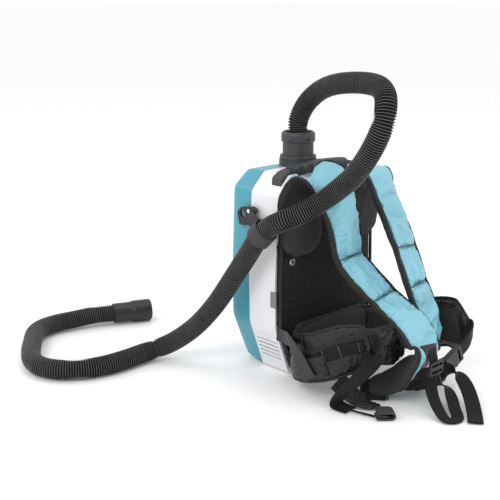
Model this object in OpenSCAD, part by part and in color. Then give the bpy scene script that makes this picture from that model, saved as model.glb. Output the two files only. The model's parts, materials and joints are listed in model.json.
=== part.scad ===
// Backpack vacuum cleaner: moulded housing with a drop-down rear cover, swivelling hose and
// padded harness. Millimetres. +Z is up and the harness side faces -Y. The origin is on the
// floor, under the middle of the white housing's width.

/* [Housing] */
// Greatest width of the housing
body_w = 236; // [224:1:290]
// Height of the housing without the inlet neck
body_h = 352; // [345:1:425]
// Depth of the white housing, from the back board to the cover seam
housing_d = 63; // [63:1:80]
// Depth of the rear cover behind the seam
cover_d = 55; // [50:1:68]
// Width across the bottom edge
base_w = 164; // [164:1:190]
// Width across the top edge
top_w = 164; // [150:1:184]
// Height at which the lower taper ends
knee_z = 90; // [86:1:110]
// Wall thickness of the housing mouldings
wall = 3; // [2:0.1:3.6]
// Gap between the rear cover and the housing along the seam
seam_gap = 0.5; // [0.3:0.1:1]

/* [Louvres] */
// Louvre slots in each side
louvre_count = 5; // [3:1:5]
// Spacing of the louvre slots
louvre_pitch = 10; // [8:0.5:11]
// Height of one slot
louvre_gap = 3.2; // [2:0.1:4]
// Length of one slot from front to back
louvre_len = 50; // [30:1:52]

/* [Inlet neck and hose] */
// Outer radius of the neck tube
neck_r = 27; // [24:0.5:30]
// Height of the collar's rim above the housing
collar_rise = 59; // [54:1:66]
// Outer radius of the hose over its ribs
hose_r = 17.5; // [15:0.5:19]
// Bore radius of the hose
hose_bore_r = 14; // [12:0.5:15]
// Ribs along the hose
hose_ribs = 160; // [80:1:180]
// Radial clearance of the swivel
swivel_clear = 0.05; // [0.02:0.01:0.1]
// Clearance between the hose end and its sockets
hose_clear = 0.4; // [0.2:0.1:0.6]
// Outer radius of the cuff's wide end
cuff_r = 21.5; // [20:0.5:24]
// Length of the cuff
cuff_len = 76; // [72:1:100]
// Bore radius of the cuff
cuff_bore_r = 16.5; // [15:0.5:18]

/* [Carrying handle] */
// Length of the handle over its end blocks
handle_len = 198; // [170:1:200]
// Depth of the grip from front to back
grip_d = 21; // [18:1:23]
// Thickness of the grip
grip_t = 19; // [16:0.5:22]
// Finger clearance between the grip and the hand well
finger_gap = 27; // [24:1:32]

/* [Harness] */
// Thickness of the back board
board_t = 14; // [10:1:18]
// Width of a shoulder strap
strap_w = 70; // [56:1:74]
// Height of the hip belt's wings
wing_h = 78; // [64:1:82]
// Width of the belt webbing
belt_w = 38; // [30:1:40]
// Width of the strap webbing
web_w = 25; // [20:1:26]

/* [Motor and fan] */
// Radius of the fan wheel
fan_r = 38; // [32:0.5:40]
// Blades on the fan wheel
fan_blades = 9; // [6:1:12]
// Radius of the motor shaft
shaft_r = 4; // [3:0.25:5]
// Running clearance between the shaft and its bearings
shaft_clear = 0.05; // [0.02:0.01:0.1]

/* [Batteries] */
// Width of a battery pack
pack_w = 68; // [62:1:70]
// Depth of a battery pack
pack_d = 50; // [44:1:52]
// Height of a battery pack
pack_h = 100; // [92:1:104]
// Clearance of a pack in its bay
pack_clear = 0.5; // [0.3:0.1:1]
// Travel of the pack's release button
button_travel = 4; // [3:0.5:5]

/* [Hidden] */
$fn = 72;

eps = 0.01;
seam_y = 9;
front_y = seam_y - housing_d;
rear_y = seam_y + cover_d;
cover_y = seam_y + seam_gap;
board_y = front_y - board_t;
shoulder_z = body_h - 30;
mid_z = 170;

teal = "#4f9fae";
white = "#f2f2f2";
dark = "#4b4b4d";
black = "#1c1c1e";
blue = "#8fcbdc";
grey = "#8a8a8c";
steel = "#c8c8cc";

// ---- outlines -------------------------------------------------------------------------

function unit(v) = v / norm(v);

// Arc that rounds corner b between a and c
function arc(a, b, c, r, n) =
  let (
    p = unit(a - b),
    q = unit(c - b),
    half = acos(p * q) / 2,
    s = b + p * r / tan(half),
    e = b + q * r / tan(half),
    m = b + unit(p + q) * r / sin(half),
    from = atan2(s.y - m.y, s.x - m.x),
    to = atan2(e.y - m.y, e.x - m.x),
    turn = (to - from + 540) % 360 - 180
  )
  [for (i = [0:n]) m + r * [cos(from + turn * i / n), sin(from + turn * i / n)]];

// Closed outline with corner i rounded to radius r[i]
function rounded(p, r, n = 5) =
  let (k = len(p))
  [for (i = [0:k - 1]) each arc(p[(i + k - 1) % k], p[i], p[(i + 1) % k], r[i], n)];

function mirrored(half) =
  concat(half, [for (i = [len(half) - 1:-1:0]) [-half[i].x, half[i].y]]);

function twice(r) = concat(r, [for (i = [len(r) - 1:-1:0]) r[i]]);

// Front view of the housing, drawn in by inset and standing foot above the floor
function body_outline(inset = 0, foot = 0) = rounded(
  mirrored([
    [base_w / 2 - inset, foot + inset],
    [body_w / 2 - 2 - inset, knee_z],
    [body_w / 2 - inset, mid_z],
    [body_w / 2 - 6 - inset, shoulder_z],
    [top_w / 2 - inset, body_h - inset]
  ]),
  twice([8, 50, 120, 18, 12])
);

function rect_outline(w, h, r, n = 4) = rounded(
  [[w / 2, -h / 2], [w / 2, h / 2], [-w / 2, h / 2], [-w / 2, -h / 2]], [r, r, r, r], n
);

// Extrudes a front view (X, Z) from y0 to y1
module prism_y(y0, y1) {
  translate([0, y1, 0]) rotate([90, 0, 0]) linear_extrude(y1 - y0) children();
}

// Extrudes a side view (Y, Z) from x0 to x1
module prism_x(x0, x1) {
  translate([x0, 0, 0]) rotate([90, 0, 90]) linear_extrude(x1 - x0) children();
}

module block(x, y, z) {
  translate([x[0], y[0], z[0]]) cube([x[1] - x[0], y[1] - y[0], z[1] - z[0]]);
}

module disc(r, z0, z1) {
  translate([0, 0, z0]) cylinder(r = r, h = z1 - z0);
}

module tube(ro, ri, z0, z1) {
  difference() {
    disc(ro, z0, z1);
    disc(ri, z0 - 1, z1 + 1);
  }
}

module both_sides() {
  children();
  mirror([1, 0, 0]) children();
}

// ---- skins and sweeps -----------------------------------------------------------------

function mean(p) = [for (k = [0:2]) sum([for (q = p) q[k]]) / len(p)];
function sum(v) = v * [for (x = v) 1];

// Closed skin through rings of equal count, each running anticlockwise about the way ahead;
// cross turns the sides' diagonals, so that two skins can lie face to face
module skin(rings, cross = false) {
  n = len(rings[0]);
  m = len(rings);
  points = concat([for (r = rings) each r], [mean(rings[0]), mean(rings[m - 1])]);
  sides = [
    for (j = [0:m - 2])
    for (i = [0:n - 1])
    let (a = j * n + i, b = j * n + (i + 1) % n, c = b + n, d = a + n)
    each cross ? [[a, d, b], [d, c, b]] : [[a, d, c], [a, c, b]]
  ];
  ends = [
    for (i = [0:n - 1])
    let (i2 = (i + 1) % n)
    each [[m * n, i, i2], [m * n + 1, (m - 1) * n + i2, (m - 1) * n + i]]
  ];
  polyhedron(points, concat(sides, ends));
}

// Point on a Catmull-Rom curve through p, at parameter t counted in points
function curve_at(p, t) =
  let (
    k = len(p),
    i = min(floor(t), k - 2),
    u = t - i,
    a = p[max(i - 1, 0)],
    b = p[i],
    c = p[i + 1],
    d = p[min(i + 2, k - 1)]
  )
  0.5 * (2 * b + (c - a) * u + (2 * a - 5 * b + 4 * c - d) * u * u
    + (3 * b - a - 3 * c + d) * u * u * u);

function curve(p, steps) =
  [for (i = [0:(len(p) - 1) * steps]) curve_at(p, i / steps)];

function tangents(p) =
  [for (i = [0:len(p) - 1]) unit(p[min(i + 1, len(p) - 1)] - p[max(i - 1, 0)])];

function across(side, t) = unit(side - (side * t) * t);

// Rings along a flexible band: section holds [share of the half width, height] pairs,
// width and swell hold one value for each route point
function band_rings(route, side, section, width, swell, steps) =
  let (
    p = curve(route, steps),
    t = tangents(p)
  )
  [
    for (i = [0:len(p) - 1])
    let (
      s = across(is_list(side[0]) ? curve_at(side, i / steps) : side, t[i]),
      n = cross(t[i], s),
      w = curve_at(width, i / steps),
      h = curve_at(swell, i / steps)
    )
    [for (q = section) p[i] + s * q.x * w + n * q.y * h]
  ];

function same(value, route) = [for (p = route) value];

module band(route, side, section, width, swell = undef, steps = 2, cross = false) {
  skin(band_rings(route, side, section, width, is_undef(swell) ? same(1, route) : swell, steps), cross);
}

// Stretch of a band between two of its rings
module band_part(route, side, section, width, swell, first, last) {
  rings = band_rings(route, side, section, width, swell, 2);
  skin([for (i = [first:last]) rings[i]], true);
}

// Flat webbing of width w and thickness t along a route
module webbing(route, side, w, t = 2, steps = 2) {
  band(route, side, [[-1, -t / 2], [1, -t / 2], [1, t / 2], [-1, t / 2]],
    same(w / 2, route), steps = steps);
}

// ---- housing --------------------------------------------------------------------------

deck_z = 204;
block_len = 35;
well_x = handle_len / 2 - block_len + 1;
well_y = front_y + 35;
grip_z = body_h - 3;
well_z = grip_z - finger_gap;
neck_y = seam_y;
boss_r = neck_r + 6;
boss_drop = 12;
neck_bore_r = neck_r - 3;
spigot_r = neck_r - 3;
throat_r = neck_r - 6;
spigot_clear = 0.3;
grip_y = front_y + 6.5 + grip_d / 2;
block_foot_z = body_h - 17;
foot_clear = 0.3;
duct_wall = 3;
bay_x = 5 + pack_w / 2;
bay_y = front_y + wall + pack_clear + pack_d / 2;
bay_top = pack_h + 4;
motor_r = fan_r + 6;
motor_y = 2;
motor_z0 = bay_top + wall + 4;
louvre_z0 = 31;
holder_z = 284;
screw_r = 2;

// Space for the dust bag, drawn in under the hand well and around the inlet boss
module bag_chamber() {
  difference() {
    prism_y(front_y + wall, seam_y + 1) polygon(body_outline(wall));
    block([-body_w, body_w], [front_y - 1, seam_y + 2], [-1, deck_z + wall]);
    block([-well_x - wall, well_x + wall], [front_y - 1, well_y + wall], [well_z - wall, body_h]);
    both_sides() handle_foot(wall);
    both_sides() board_screw_holes(screw_r + 3, front_y + 13);
    translate([0, neck_y, 0]) disc(boss_r, body_h - boss_drop, body_h);
    power_boss();
  }
}

// Socket in the shoulder for one end block of the handle, grown by grow
module handle_foot(grow) {
  block(
    [handle_len / 2 - block_len - grow, handle_len / 2 + grow],
    [grip_y - grip_d / 2 - grow, grip_y + grip_d / 2 + grow],
    [block_foot_z - grow, body_h + 20]
  );
}

module side_duct() {
  inner = body_outline(wall);
  difference() {
    prism_y(front_y + wall + 2, seam_y - wall) polygon(inner);
    block([-body_w, bay_x + pack_w / 2 + pack_clear + duct_wall],
      [front_y, seam_y], [-1, body_h + 1]);
    block([0, body_w], [front_y, seam_y], [deck_z - 4, body_h + 1]);
    block([0, body_w], [front_y, seam_y], [-1, louvre_z0 - 8]);
  }
}

// Slots that slope down and outward through the side wall, with a hooded lip
module louvre_slots() {
  for (i = [0:louvre_count - 1])
    translate([base_w / 2, (front_y + 3 + seam_y - 3) / 2 - louvre_len / 2, louvre_z0 + i * louvre_pitch])
      rotate([0, 28, 0])
        cube([70, louvre_len, louvre_gap], center = false);
}

module louvre_hoods() {
  run = body_w / 2 - 2 - base_w / 2;
  for (i = [0:louvre_count - 1]) {
    z = louvre_z0 + i * louvre_pitch - 2;
    x = base_w / 2 + run * z / knee_z;
    prism_y(front_y + 4, seam_y - 4)
      polygon([[x - 2.5, z + 1], [x - 2.2, z + 5.6], [x + 2.4, z + 4.6], [x + 1.6, z + 2.2]]);
  }
}

module main_housing() {
  color(white)
    difference() {
      union() {
        prism_y(front_y, seam_y) polygon(body_outline());
        both_sides() louvre_hoods();
        translate([0, neck_y, 0]) disc(boss_r, body_h - boss_drop, body_h);
      }
      bag_chamber();
      both_sides() side_duct();
      both_sides() louvre_slots();
      block([-well_x, well_x], [front_y - 1, well_y], [well_z, body_h + 1]);
      both_sides() handle_foot(foot_clear);
      translate([0, neck_y, 0]) disc(spigot_r + spigot_clear, body_h - 40, body_h + 1);
      motor_room(front_y + wall + 2, seam_y + 1);
      both_sides() battery_bay();
      both_sides() duct_window();
      translate([0, motor_y, 0]) disc(fan_r - 10, deck_z - 20, deck_z + 10);
      filter_seat();
      seal_groove();
      hinge_room();
      both_sides() board_screw_holes(screw_r - 0.2, front_y + 11);
      neck_screw_holes();
      handle_screw_holes();
      both_sides() clip_seat(0.2);
      power_seat(0.3);
      holder_screw_hole();
    }
  color(white) latch_catch();
  color(white) both_sides() hinge_ears();
}

module motor_room(y0, y1) {
  block([-motor_r - 1, motor_r + 1], [y0, y1], [motor_z0, deck_z - 4]);
}

module battery_bay() {
  block(
    [bay_x - pack_w / 2 - pack_clear, bay_x + pack_w / 2 + pack_clear],
    [bay_y - pack_d / 2 - pack_clear, bay_y + pack_d / 2 + pack_clear],
    [-1, bay_top]
  );
}

module duct_window() {
  block([motor_r, bay_x + pack_w / 2 + 8], [-30, -6], [motor_z0 + 12, motor_z0 + 48]);
}

module filter_seat() {
  translate([0, motor_y, 0]) disc(motor_r - 2, deck_z + wall - 1.5, deck_z + wall + 1);
}

// Groove in the rim of the housing for the cover's gasket
module seal_groove() {
  difference() {
    prism_y(seam_y - 1.5, seam_y + 1) polygon(body_outline(wall * 0.3));
    prism_y(seam_y - 2, seam_y + 2) polygon(body_outline(wall * 0.8));
    block([-50, 50], [seam_y - 3, seam_y + 3], [body_h - 8, body_h + 1]);
    block([-70, 70], [seam_y - 3, seam_y + 3], [-1, 14]);
  }
}

// ---- inlet neck, collar and hose --------------------------------------------------------

flange_z = body_h + 12;
collar_z = body_h + collar_rise;
collar_h = 17;
collar_r = neck_r + 2.6;
socket_z = collar_z - 31;

module inlet_neck() {
  color(dark)
    translate([0, neck_y, 0])
      difference() {
        rotate_extrude()
          polygon([
            [throat_r, body_h - 22], [spigot_r, body_h - 22], [spigot_r, body_h], [boss_r, body_h],
            [boss_r, flange_z - 2], [boss_r - 1.6, flange_z - 1], [boss_r - 1, flange_z],
            [boss_r - 1, flange_z + 4.5], [boss_r - 2.2, flange_z + 6], [neck_r, flange_z + 6],
            [neck_r, collar_z - collar_h - 0.3], [neck_bore_r, collar_z - collar_h - 0.3],
            [neck_bore_r, body_h + 10], [throat_r, body_h + 7]
          ]);
        for (a = [45:90:315]) rotate([0, 0, a]) translate([boss_r - 3.4, 0, body_h - 1])
          cylinder(r = 1.6, h = flange_z - body_h + 0.6, $fn = 24);
      }
}

module neck_screw_holes() {
  translate([0, neck_y, 0])
    for (a = [45:90:315]) rotate([0, 0, a]) translate([boss_r - 3.4, 0, body_h - 9])
      cylinder(r = 1.5, h = 20, $fn = 24);
}

module neck_screws() {
  color(steel)
    translate([0, neck_y, 0])
      for (a = [45:90:315]) rotate([0, 0, a]) translate([boss_r - 3.4, 0, body_h - 8])
        cylinder(r = 1.5, h = 18, $fn = 24);
}

module neck_seal() {
  color(black)
    translate([0, neck_y, 0])
      tube(spigot_r + 0.8, throat_r, body_h - 25, body_h - 22);
}

// Swivelling collar: its sleeve turns in the neck, and the hose is screwed into its socket
module hose_collar() {
  sleeve_r = neck_bore_r - swivel_clear;
  skirt = collar_z - collar_h;
  color(dark)
    translate([0, neck_y, 0])
      difference() {
        rotate_extrude()
          polygon([
            [hose_bore_r, socket_z - 3], [sleeve_r, socket_z - 3], [sleeve_r, skirt],
            [collar_r - 0.8, skirt], [collar_r, skirt + 0.8], [collar_r, collar_z - 4.5],
            [collar_r - 1, collar_z - 2.2], [collar_r - 3.2, collar_z], [collar_r - 5.6, collar_z],
            [collar_r - 7, collar_z - 2], [collar_r - 7.2, collar_z - 7],
            [hose_r + hose_clear, collar_z - 9], [hose_r + hose_clear, socket_z],
            [hose_bore_r, socket_z]
          ]);
        // bayonet window with its stepped slot, and the pointer recess beside it
        rotate([0, 0, -105]) {
          block([collar_r - 3, collar_r + 1], [-4.5, 4.5], [skirt + 4, skirt + 6.4]);
          block([collar_r - 3, collar_r + 1], [1.5, 4.5], [skirt + 4, skirt + 9]);
        }
        rotate([0, 0, -154])
          prism_x(collar_r - 2, collar_r + 1)
            polygon([[-8, skirt + 2.5], [8, skirt + 2.5], [0, skirt + 9]]);
      }
}

// Way of the hose from the collar, over the straps, down past the left side and over the floor
hose_route = [
  [0, 9, 380], [0, 9, 405], [0, 9, 430], [4, -4, 458], [4, -30, 480], [-5, -65, 494],
  [-20, -108, 503], [-32, -158, 508], [-45, -200, 507], [-58, -225, 498], [-70, -238, 482],
  [-78, -241, 458], [-82, -232, 430], [-83, -214, 400], [-84, -190, 370], [-92, -162, 343],
  [-109, -138, 320.5], [-127, -119, 305.5], [-143, -97, 293], [-149, -72, 278.5], [-152, -48, 255],
  [-153, -24, 222], [-157, 8, 176], [-165, 45, 122], [-175, 85, 76], [-188, 125, 42],
  [-206, 154, 23], [-236, 164, 18], [-275, 161, 18], [-315, 163, 18], [-352, 175, 18],
  [-384, 199, 18], [-400, 232, 18], [-396, 270, 18], [-374, 312, 18], [-346, 352, 18],
  [-320, 386, 18], [-290, 404, 18], [-256, 405, 19], [-224, 398, 20], [-192, 389.5, 21.8],
  [-168, 379, 21.8], [-136, 365, 21.8]
];
cuff_turn = -atan2(14, 32);
cuff_z = 21.8;
cuff_socket = 15;
hose_end = hose_route[len(hose_route) - 1];

// Lengths along a polyline, from its first point
function run_lengths(p) =
  [for (i = 0, s = 0; i < len(p); s = s + (i + 1 < len(p) ? norm(p[i + 1] - p[i]) : 0), i = i + 1) s];

// Point at length s along the polyline p whose running lengths are l
function along(p, l, s) =
  [for (k = [0:2]) lookup(s, [for (i = [0:len(p) - 1]) [l[i], p[i][k]]])];

// One direction square to each tangent, carried along without twist
function carried(t) =
  [for (i = 0, v = across([1, 0, 0], t[0]); i < len(t);
    v = across(v, t[min(i + 1, len(t) - 1)]), i = i + 1) v];

function ring8(p, t, v, r) =
  let (w = cross(t, v))
  [for (k = [0:7]) p + r * (cos(k * 45 + 22.5) * v + sin(k * 45 + 22.5) * w)];

module hose() {
  path = curve(hose_route, 8);
  lengths = run_lengths(path);
  total = lengths[len(path) - 1];
  half_rib = total / (2 * hose_ribs);
  spots = [for (k = [0:2 * hose_ribs]) along(path, lengths, k * half_rib)];
  t = tangents(spots);
  v = carried(t);
  last = len(spots) - 1;
  valley_r = hose_r - 1.5;
  outer = [for (k = [0:last]) ring8(spots[k], t[k], v[k], k % 2 == 0 ? valley_r : hose_r)];
  inner_steps = [for (k = [0:4:last]) k];
  inner = [for (k = inner_steps) ring8(spots[k], t[k], v[k], hose_bore_r)];
  m = len(outer);
  q = len(inner);
  base = m * 8;
  points = concat([for (r = outer) each r], [for (r = inner) each r]);
  outer_faces = [
    for (j = [0:m - 2]) for (i = [0:7])
    let (a = j * 8 + i, b = j * 8 + (i + 1) % 8)
    each [[a, a + 8, b + 8], [a, b + 8, b]]
  ];
  inner_faces = [
    for (j = [0:q - 2]) for (i = [0:7])
    let (a = base + j * 8 + i, b = base + j * 8 + (i + 1) % 8)
    each [[a, b + 8, a + 8], [a, b, b + 8]]
  ];
  end_faces = [
    for (i = [0:7])
    let (
      i2 = (i + 1) % 8,
      f = (m - 1) * 8,
      g = base + (q - 1) * 8
    )
    each [
      [i, i2, base + i2], [i, base + i2, base + i],
      [f + i, g + i2, f + i2], [f + i, g + i, g + i2]
    ]
  ];
  echo(hose_length = total);
  color(black) polyhedron(points, concat(outer_faces, inner_faces, end_faces));
}

module hose_cuff() {
  neck_len = 30;
  cone_len = 9;
  socket = cuff_socket;
  color(black)
    translate([hose_end.x, hose_end.y, cuff_z])
      rotate([0, 90, cuff_turn])
        translate([0, 0, -socket])
        rotate_extrude()
          polygon([
            [hose_bore_r, socket], [hose_r + hose_clear, socket], [hose_r + hose_clear, 0],
            [hose_r + 1.2, 0], [hose_r + 2, 1], [hose_r + 2, neck_len],
            [cuff_r - 1, neck_len + cone_len], [cuff_r, neck_len + cone_len + 2],
            [cuff_r, cuff_len - 2.5], [cuff_r - 2, cuff_len], [cuff_bore_r + 1, cuff_len],
            [cuff_bore_r, cuff_len - 1], [cuff_bore_r, cuff_len - 32], [hose_bore_r, cuff_len - 36]
          ]);
}

// ---- hose holder --------------------------------------------------------------------------

holder_x = -body_w / 2 - 1;
holder_t = 4;

// D-shaped plate on the side wall, with a hanging hole and a bar for the strap
module hose_holder() {
  outline = rounded(
    [[28, -22], [33, -1], [24, 9], [-6, 14], [-17, 9], [2, -10], [14, -22]],
    [3, 4, 5, 4, 4, 6, 4], 4
  );
  color(black)
    difference() {
      union() {
        translate([0, 0, holder_z]) prism_x(holder_x - holder_t, holder_x) polygon(outline);
        translate([0, 0, holder_z])
          prism_x(holder_x, -body_w / 2 + 3) polygon([[-4, -2], [6, -8], [6, 8], [-4, 8]]);
      }
      translate([holder_x - 10, 19, holder_z - 2]) rotate([0, 90, 0]) cylinder(r = 6.5, h = 20);
      slot = rounded([[-11, 6], [10, -17], [13, -14], [-8, 9]], [1, 1, 1, 1], 3);
      translate([0, 0, holder_z]) prism_x(holder_x - 10, holder_x + 0.5) polygon(slot);
      translate([holder_x - 10, 3.5, holder_z + 5]) rotate([0, 90, 0]) cylinder(r = screw_r, h = 20);
      prism_y(front_y, seam_y) polygon(body_outline());
    }
}

module holder_screw_hole() {
  translate([-body_w / 2 - 4, 3.5, holder_z + 5]) rotate([0, 90, 0])
    cylinder(r = screw_r, h = 14, $fn = 32);
}

module holder_screw() {
  color(steel)
    translate([holder_x - holder_t, 3.5, holder_z + 5]) rotate([0, 90, 0]) {
      cylinder(r = screw_r, h = 12, $fn = 32);
      translate([0, 0, -2]) cylinder(r = 3.6, h = 2, $fn = 32);
    }
}

// Strap from the holder's slot round the hose, with its tail hanging
module hose_strap() {
  r = hose_r + 3;
  c = [-151.1, -57.1, 265.0];
  axis = unit([-5, 42, -43]);
  u = across([0, 0, 1], axis);
  w = cross(axis, u);
  root = [holder_x - holder_t - 2.4, -1, holder_z - 5];
  d = across(root - c, axis);
  reach = norm(root - c - ((root - c) * axis) * axis);
  from = atan2(d * w, d * u) + acos(r / reach);
  drift = (root - c) * axis;
  loop = [for (i = [0:12]) c + r * (cos(from + i * 25) * u + sin(from + i * 25) * w)
    + axis * drift * (i == 0 ? 0.3 : i == 1 ? 0.1 : 0)];
  lead = [
    [holder_x - 0.6, 1.5, holder_z - 3.5], [holder_x - holder_t / 2 - 0.5, 1, holder_z - 4], root
  ];
  slot = [0, 0.67, -0.74];
  sides = [slot, slot, slot, for (q = loop) axis];
  color(dark) webbing(concat(lead, loop), sides, 26, 1.6, 2);
}

// ---- carrying handle ----------------------------------------------------------------------

// Arched grip between two end blocks that stand in the shoulders
module carry_handle() {
  half = handle_len / 2;
  in_x = half - block_len;
  section = [
    for (q = rounded([[-grip_d / 2, -grip_t / 2], [grip_d / 2, -grip_t / 2],
      [grip_d / 2, grip_t / 2], [-grip_d / 2, grip_t / 2]], [6, 6, 8, 8], 3)) q
  ];
  spine = [for (x = [-in_x - 4:(2 * in_x + 8) / 12:in_x + 4 + eps])
    [x, grip_y, grip_z + grip_t / 2 - 1 - 8 * pow(x / half, 2)]];
  end_block = rounded(
    [[half, block_foot_z], [half, body_h - 5], [half - 14, body_h + 4], [in_x - 6, body_h + 9],
      [in_x - 6, grip_z - 3], [in_x, body_h - 9], [in_x, block_foot_z]],
    [0.6, 5, 8, 5, 1.5, 4, 0.6], 3
  );
  color(dark)
    difference() {
      union() {
        skin([for (p = spine) [for (q = section) p + [0, q.x, q.y]]]);
        both_sides() prism_y(grip_y - grip_d / 2, grip_y + grip_d / 2) polygon(end_block);
      }
      // finger scallops in the front of the grip
      for (i = [0:3]) translate([-70 + i * 21, grip_y - grip_d / 2 - 7, grip_z - 8])
        cylinder(r = 10, h = 40);
      handle_screw_holes();
    }
}

module handle_screw_holes() {
  both_sides() translate([handle_len / 2 - 12, grip_y, body_h - 34]) cylinder(r = screw_r, h = 28, $fn = 32);
}

module handle_screws() {
  color(steel)
    both_sides() translate([handle_len / 2 - 12, grip_y, body_h - 30])
    cylinder(r = screw_r, h = 24, $fn = 32);
}

// ---- rear cover ---------------------------------------------------------------------------

hinge_y = cover_y + 3.2;
hinge_z = 4.4;
hinge_r = 1.6;
knuckle_r = 3.6;
hinge_x = 58;
hinge_w = 12;
cover_foot = 4.5;
latch_y = 50;
latch_z = body_h - 9;
latch_w = 30;

// Depth behind the seam, as a share of the whole, against the draw-in of the outline
cover_profile = [[0, 0], [0.3, 0.3], [0.6, 1.4], [0.78, 3.2], [0.9, 6.5], [0.97, 10.5], [1, 16]];

function cover_ring(depth, inset) = [
  for (q = body_outline(inset, cover_foot)) [q.x, cover_y + depth, q.y]
];

module cover_shell(t) {
  reach = rear_y - cover_y - t;
  rings = [for (i = [len(cover_profile) - 1:-1:0])
    cover_ring(cover_profile[i][0] * reach, cover_profile[i][1] + t)];
  mouth = t > 0 ? [cover_ring(-2, t)] : [];
  skin(concat(rings, mouth));
}

module rear_cover() {
  notch_r = boss_r + 2.2;
  color(teal)
    difference() {
      union() {
        difference() {
          cover_shell(0);
          cover_shell(wall - 0.4);
          translate([0, neck_y, 0]) disc(notch_r, body_h - 26, body_h + 5);
          block([-latch_w / 2 - 1, latch_w / 2 + 1], [notch_r - 6, rear_y + 1], [latch_z - 10, body_h + 1]);
          block([-hinge_x - hinge_w, hinge_x + hinge_w], [seam_y, hinge_y + 6], [-1, 2 * hinge_z]);
        }
        // hinge knuckles on the lower edge
        both_sides() prism_x(hinge_x - hinge_w / 2 + 0.3, hinge_x + hinge_w / 2 - 0.3)
          polygon([[hinge_y - 1, hinge_z - 2.5], [hinge_y + 9, hinge_z + 0.4],
            [hinge_y + 9, hinge_z + 6], [hinge_y - 1, hinge_z + 3]]);
        both_sides() translate([hinge_x - hinge_w / 2 + 0.3, hinge_y, hinge_z]) rotate([0, 90, 0])
          cylinder(r = knuckle_r, h = hinge_w - 0.6);
        // ears that hold the latch's pin
        both_sides() prism_x(latch_w / 2 + 1, latch_w / 2 + 4)
          polygon([[latch_y - 5, latch_z - 6], [latch_y + 5, latch_z - 6],
            [latch_y + 5, latch_z + 2], [latch_y - 5, latch_z + 3]]);
      }
      translate([-70, hinge_y, hinge_z]) rotate([0, 90, 0]) cylinder(r = hinge_r + 0.05, h = 140);
      translate([-30, latch_y, latch_z]) rotate([0, 90, 0]) cylinder(r = 1.55, h = 60);
    }
}

// Hollow in the housing's lower rear edge for the cover's knuckles
module hinge_room() {
  both_sides() block([hinge_x - hinge_w / 2, hinge_x + hinge_w / 2], [seam_y - 2, seam_y + 2], [-1, 12]);
}

// Ears either side of a knuckle that hold the hinge pin
module hinge_ears() {
  for (x = [hinge_x - hinge_w / 2 - 3, hinge_x + hinge_w / 2])
    difference() {
      union() {
        block([x, x + 3], [seam_y - 3, hinge_y], [hinge_z - knuckle_r, hinge_z + knuckle_r]);
        translate([x, hinge_y, hinge_z]) rotate([0, 90, 0]) cylinder(r = knuckle_r, h = 3);
      }
      translate([x - 1, hinge_y, hinge_z]) rotate([0, 90, 0]) cylinder(r = hinge_r, h = 5);
    }
}

module cover_hinge_pin() {
  color(steel)
    both_sides() translate([hinge_x - hinge_w / 2 - 3, hinge_y, hinge_z]) rotate([0, 90, 0])
      cylinder(r = hinge_r, h = hinge_w + 6, $fn = 32);
}

module cover_seal() {
  color(black)
    difference() {
      prism_y(seam_y - 1.5, cover_y - 0.1) polygon(body_outline(wall * 0.3 + 0.05));
      prism_y(seam_y - 3, seam_y + 3) polygon(body_outline(wall * 0.8 - 0.05));
      block([-50.1, 50.1], [seam_y - 3, seam_y + 3], [body_h - 8.1, body_h + 1]);
      block([-70.1, 70.1], [seam_y - 3, seam_y + 3], [-1, 14.1]);
    }
}

// Lug under the boss that the latch's hook catches
module latch_catch() {
  block([-latch_w / 2 + 2, latch_w / 2 - 2], [boss_r + neck_y - 4.5, boss_r + neck_y - 0.5],
    [body_h - boss_drop - 4, body_h - boss_drop + 2]);
}

module cover_latch() {
  nose = boss_r + neck_y;
  color(dark)
    prism_x(-latch_w / 2 + 0.3, latch_w / 2 - 0.3)
      difference() {
        union() {
          translate([latch_y, latch_z]) circle(r = 4);
          polygon([
            [nose - 8.2, body_h - boss_drop - 8], [latch_y, latch_z - 8], [latch_y + 8, latch_z - 4],
            [latch_y + 9, latch_z - 1], [latch_y + 4, latch_z + 4], [latch_y - 1, latch_z + 4],
            [latch_y - 4, latch_z - 2], [nose - 1, body_h - boss_drop - 5],
            [nose - 5.8, body_h - boss_drop - 5], [nose - 5.8, body_h - boss_drop - 1],
            [nose - 8.2, body_h - boss_drop - 3]
          ]);
        }
        translate([latch_y, latch_z]) circle(r = 1.55);
      }
}

module latch_pin() {
  color(steel)
    translate([-latch_w / 2 - 4, latch_y, latch_z]) rotate([0, 90, 0])
      cylinder(r = 1.5, h = latch_w + 8, $fn = 32);
}

// ---- dust bag, filter, fan and motor ---------------------------------------------------------

bag_top = body_h - 27;

module dust_bag() {
  w = body_w - 44;
  rings = [
    for (q = [[deck_z + 12, 0.86, 8], [deck_z + 22, 0.96, 8], [deck_z + 52, 1, 8],
      [deck_z + 80, 0.97, 8], [deck_z + 98, 0.86, 12], [bag_top - 12, 0.6, 16], [bag_top, 0.42, 14]])
    [for (p = rect_outline(w * q[1], 84 * q[1], 16, 3)) [p.x, p.y + q[2], q[0]]]
  ];
  color("#e9e4d4") skin(rings);
}

module bag_collar() {
  color("#b98f5c")
    difference() {
      translate([0, 14, bag_top]) linear_extrude(2) polygon(rect_outline(94, 44, 6));
      translate([0, neck_y, 0]) disc(throat_r - 1, bag_top - 1, bag_top + 5);
    }
}

module filter_frame() {
  color(dark)
    translate([0, motor_y, 0])
      difference() {
        union() {
          tube(motor_r - 2.3, fan_r - 4, deck_z + wall - 1.5, deck_z + wall + 6);
          for (a = [0:60:120]) rotate([0, 0, a])
            block([-motor_r + 6, motor_r - 6], [-1, 1], [deck_z + wall + 4, deck_z + wall + 6]);
        }
        disc(fan_r - 2, deck_z + wall - 0.5, deck_z + wall + 3.9);
      }
}

module filter_pad() {
  color("#d9d9d4") translate([0, motor_y, 0]) disc(fan_r - 2.3, deck_z + wall - 0.3, deck_z + wall + 3.7);
}

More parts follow.
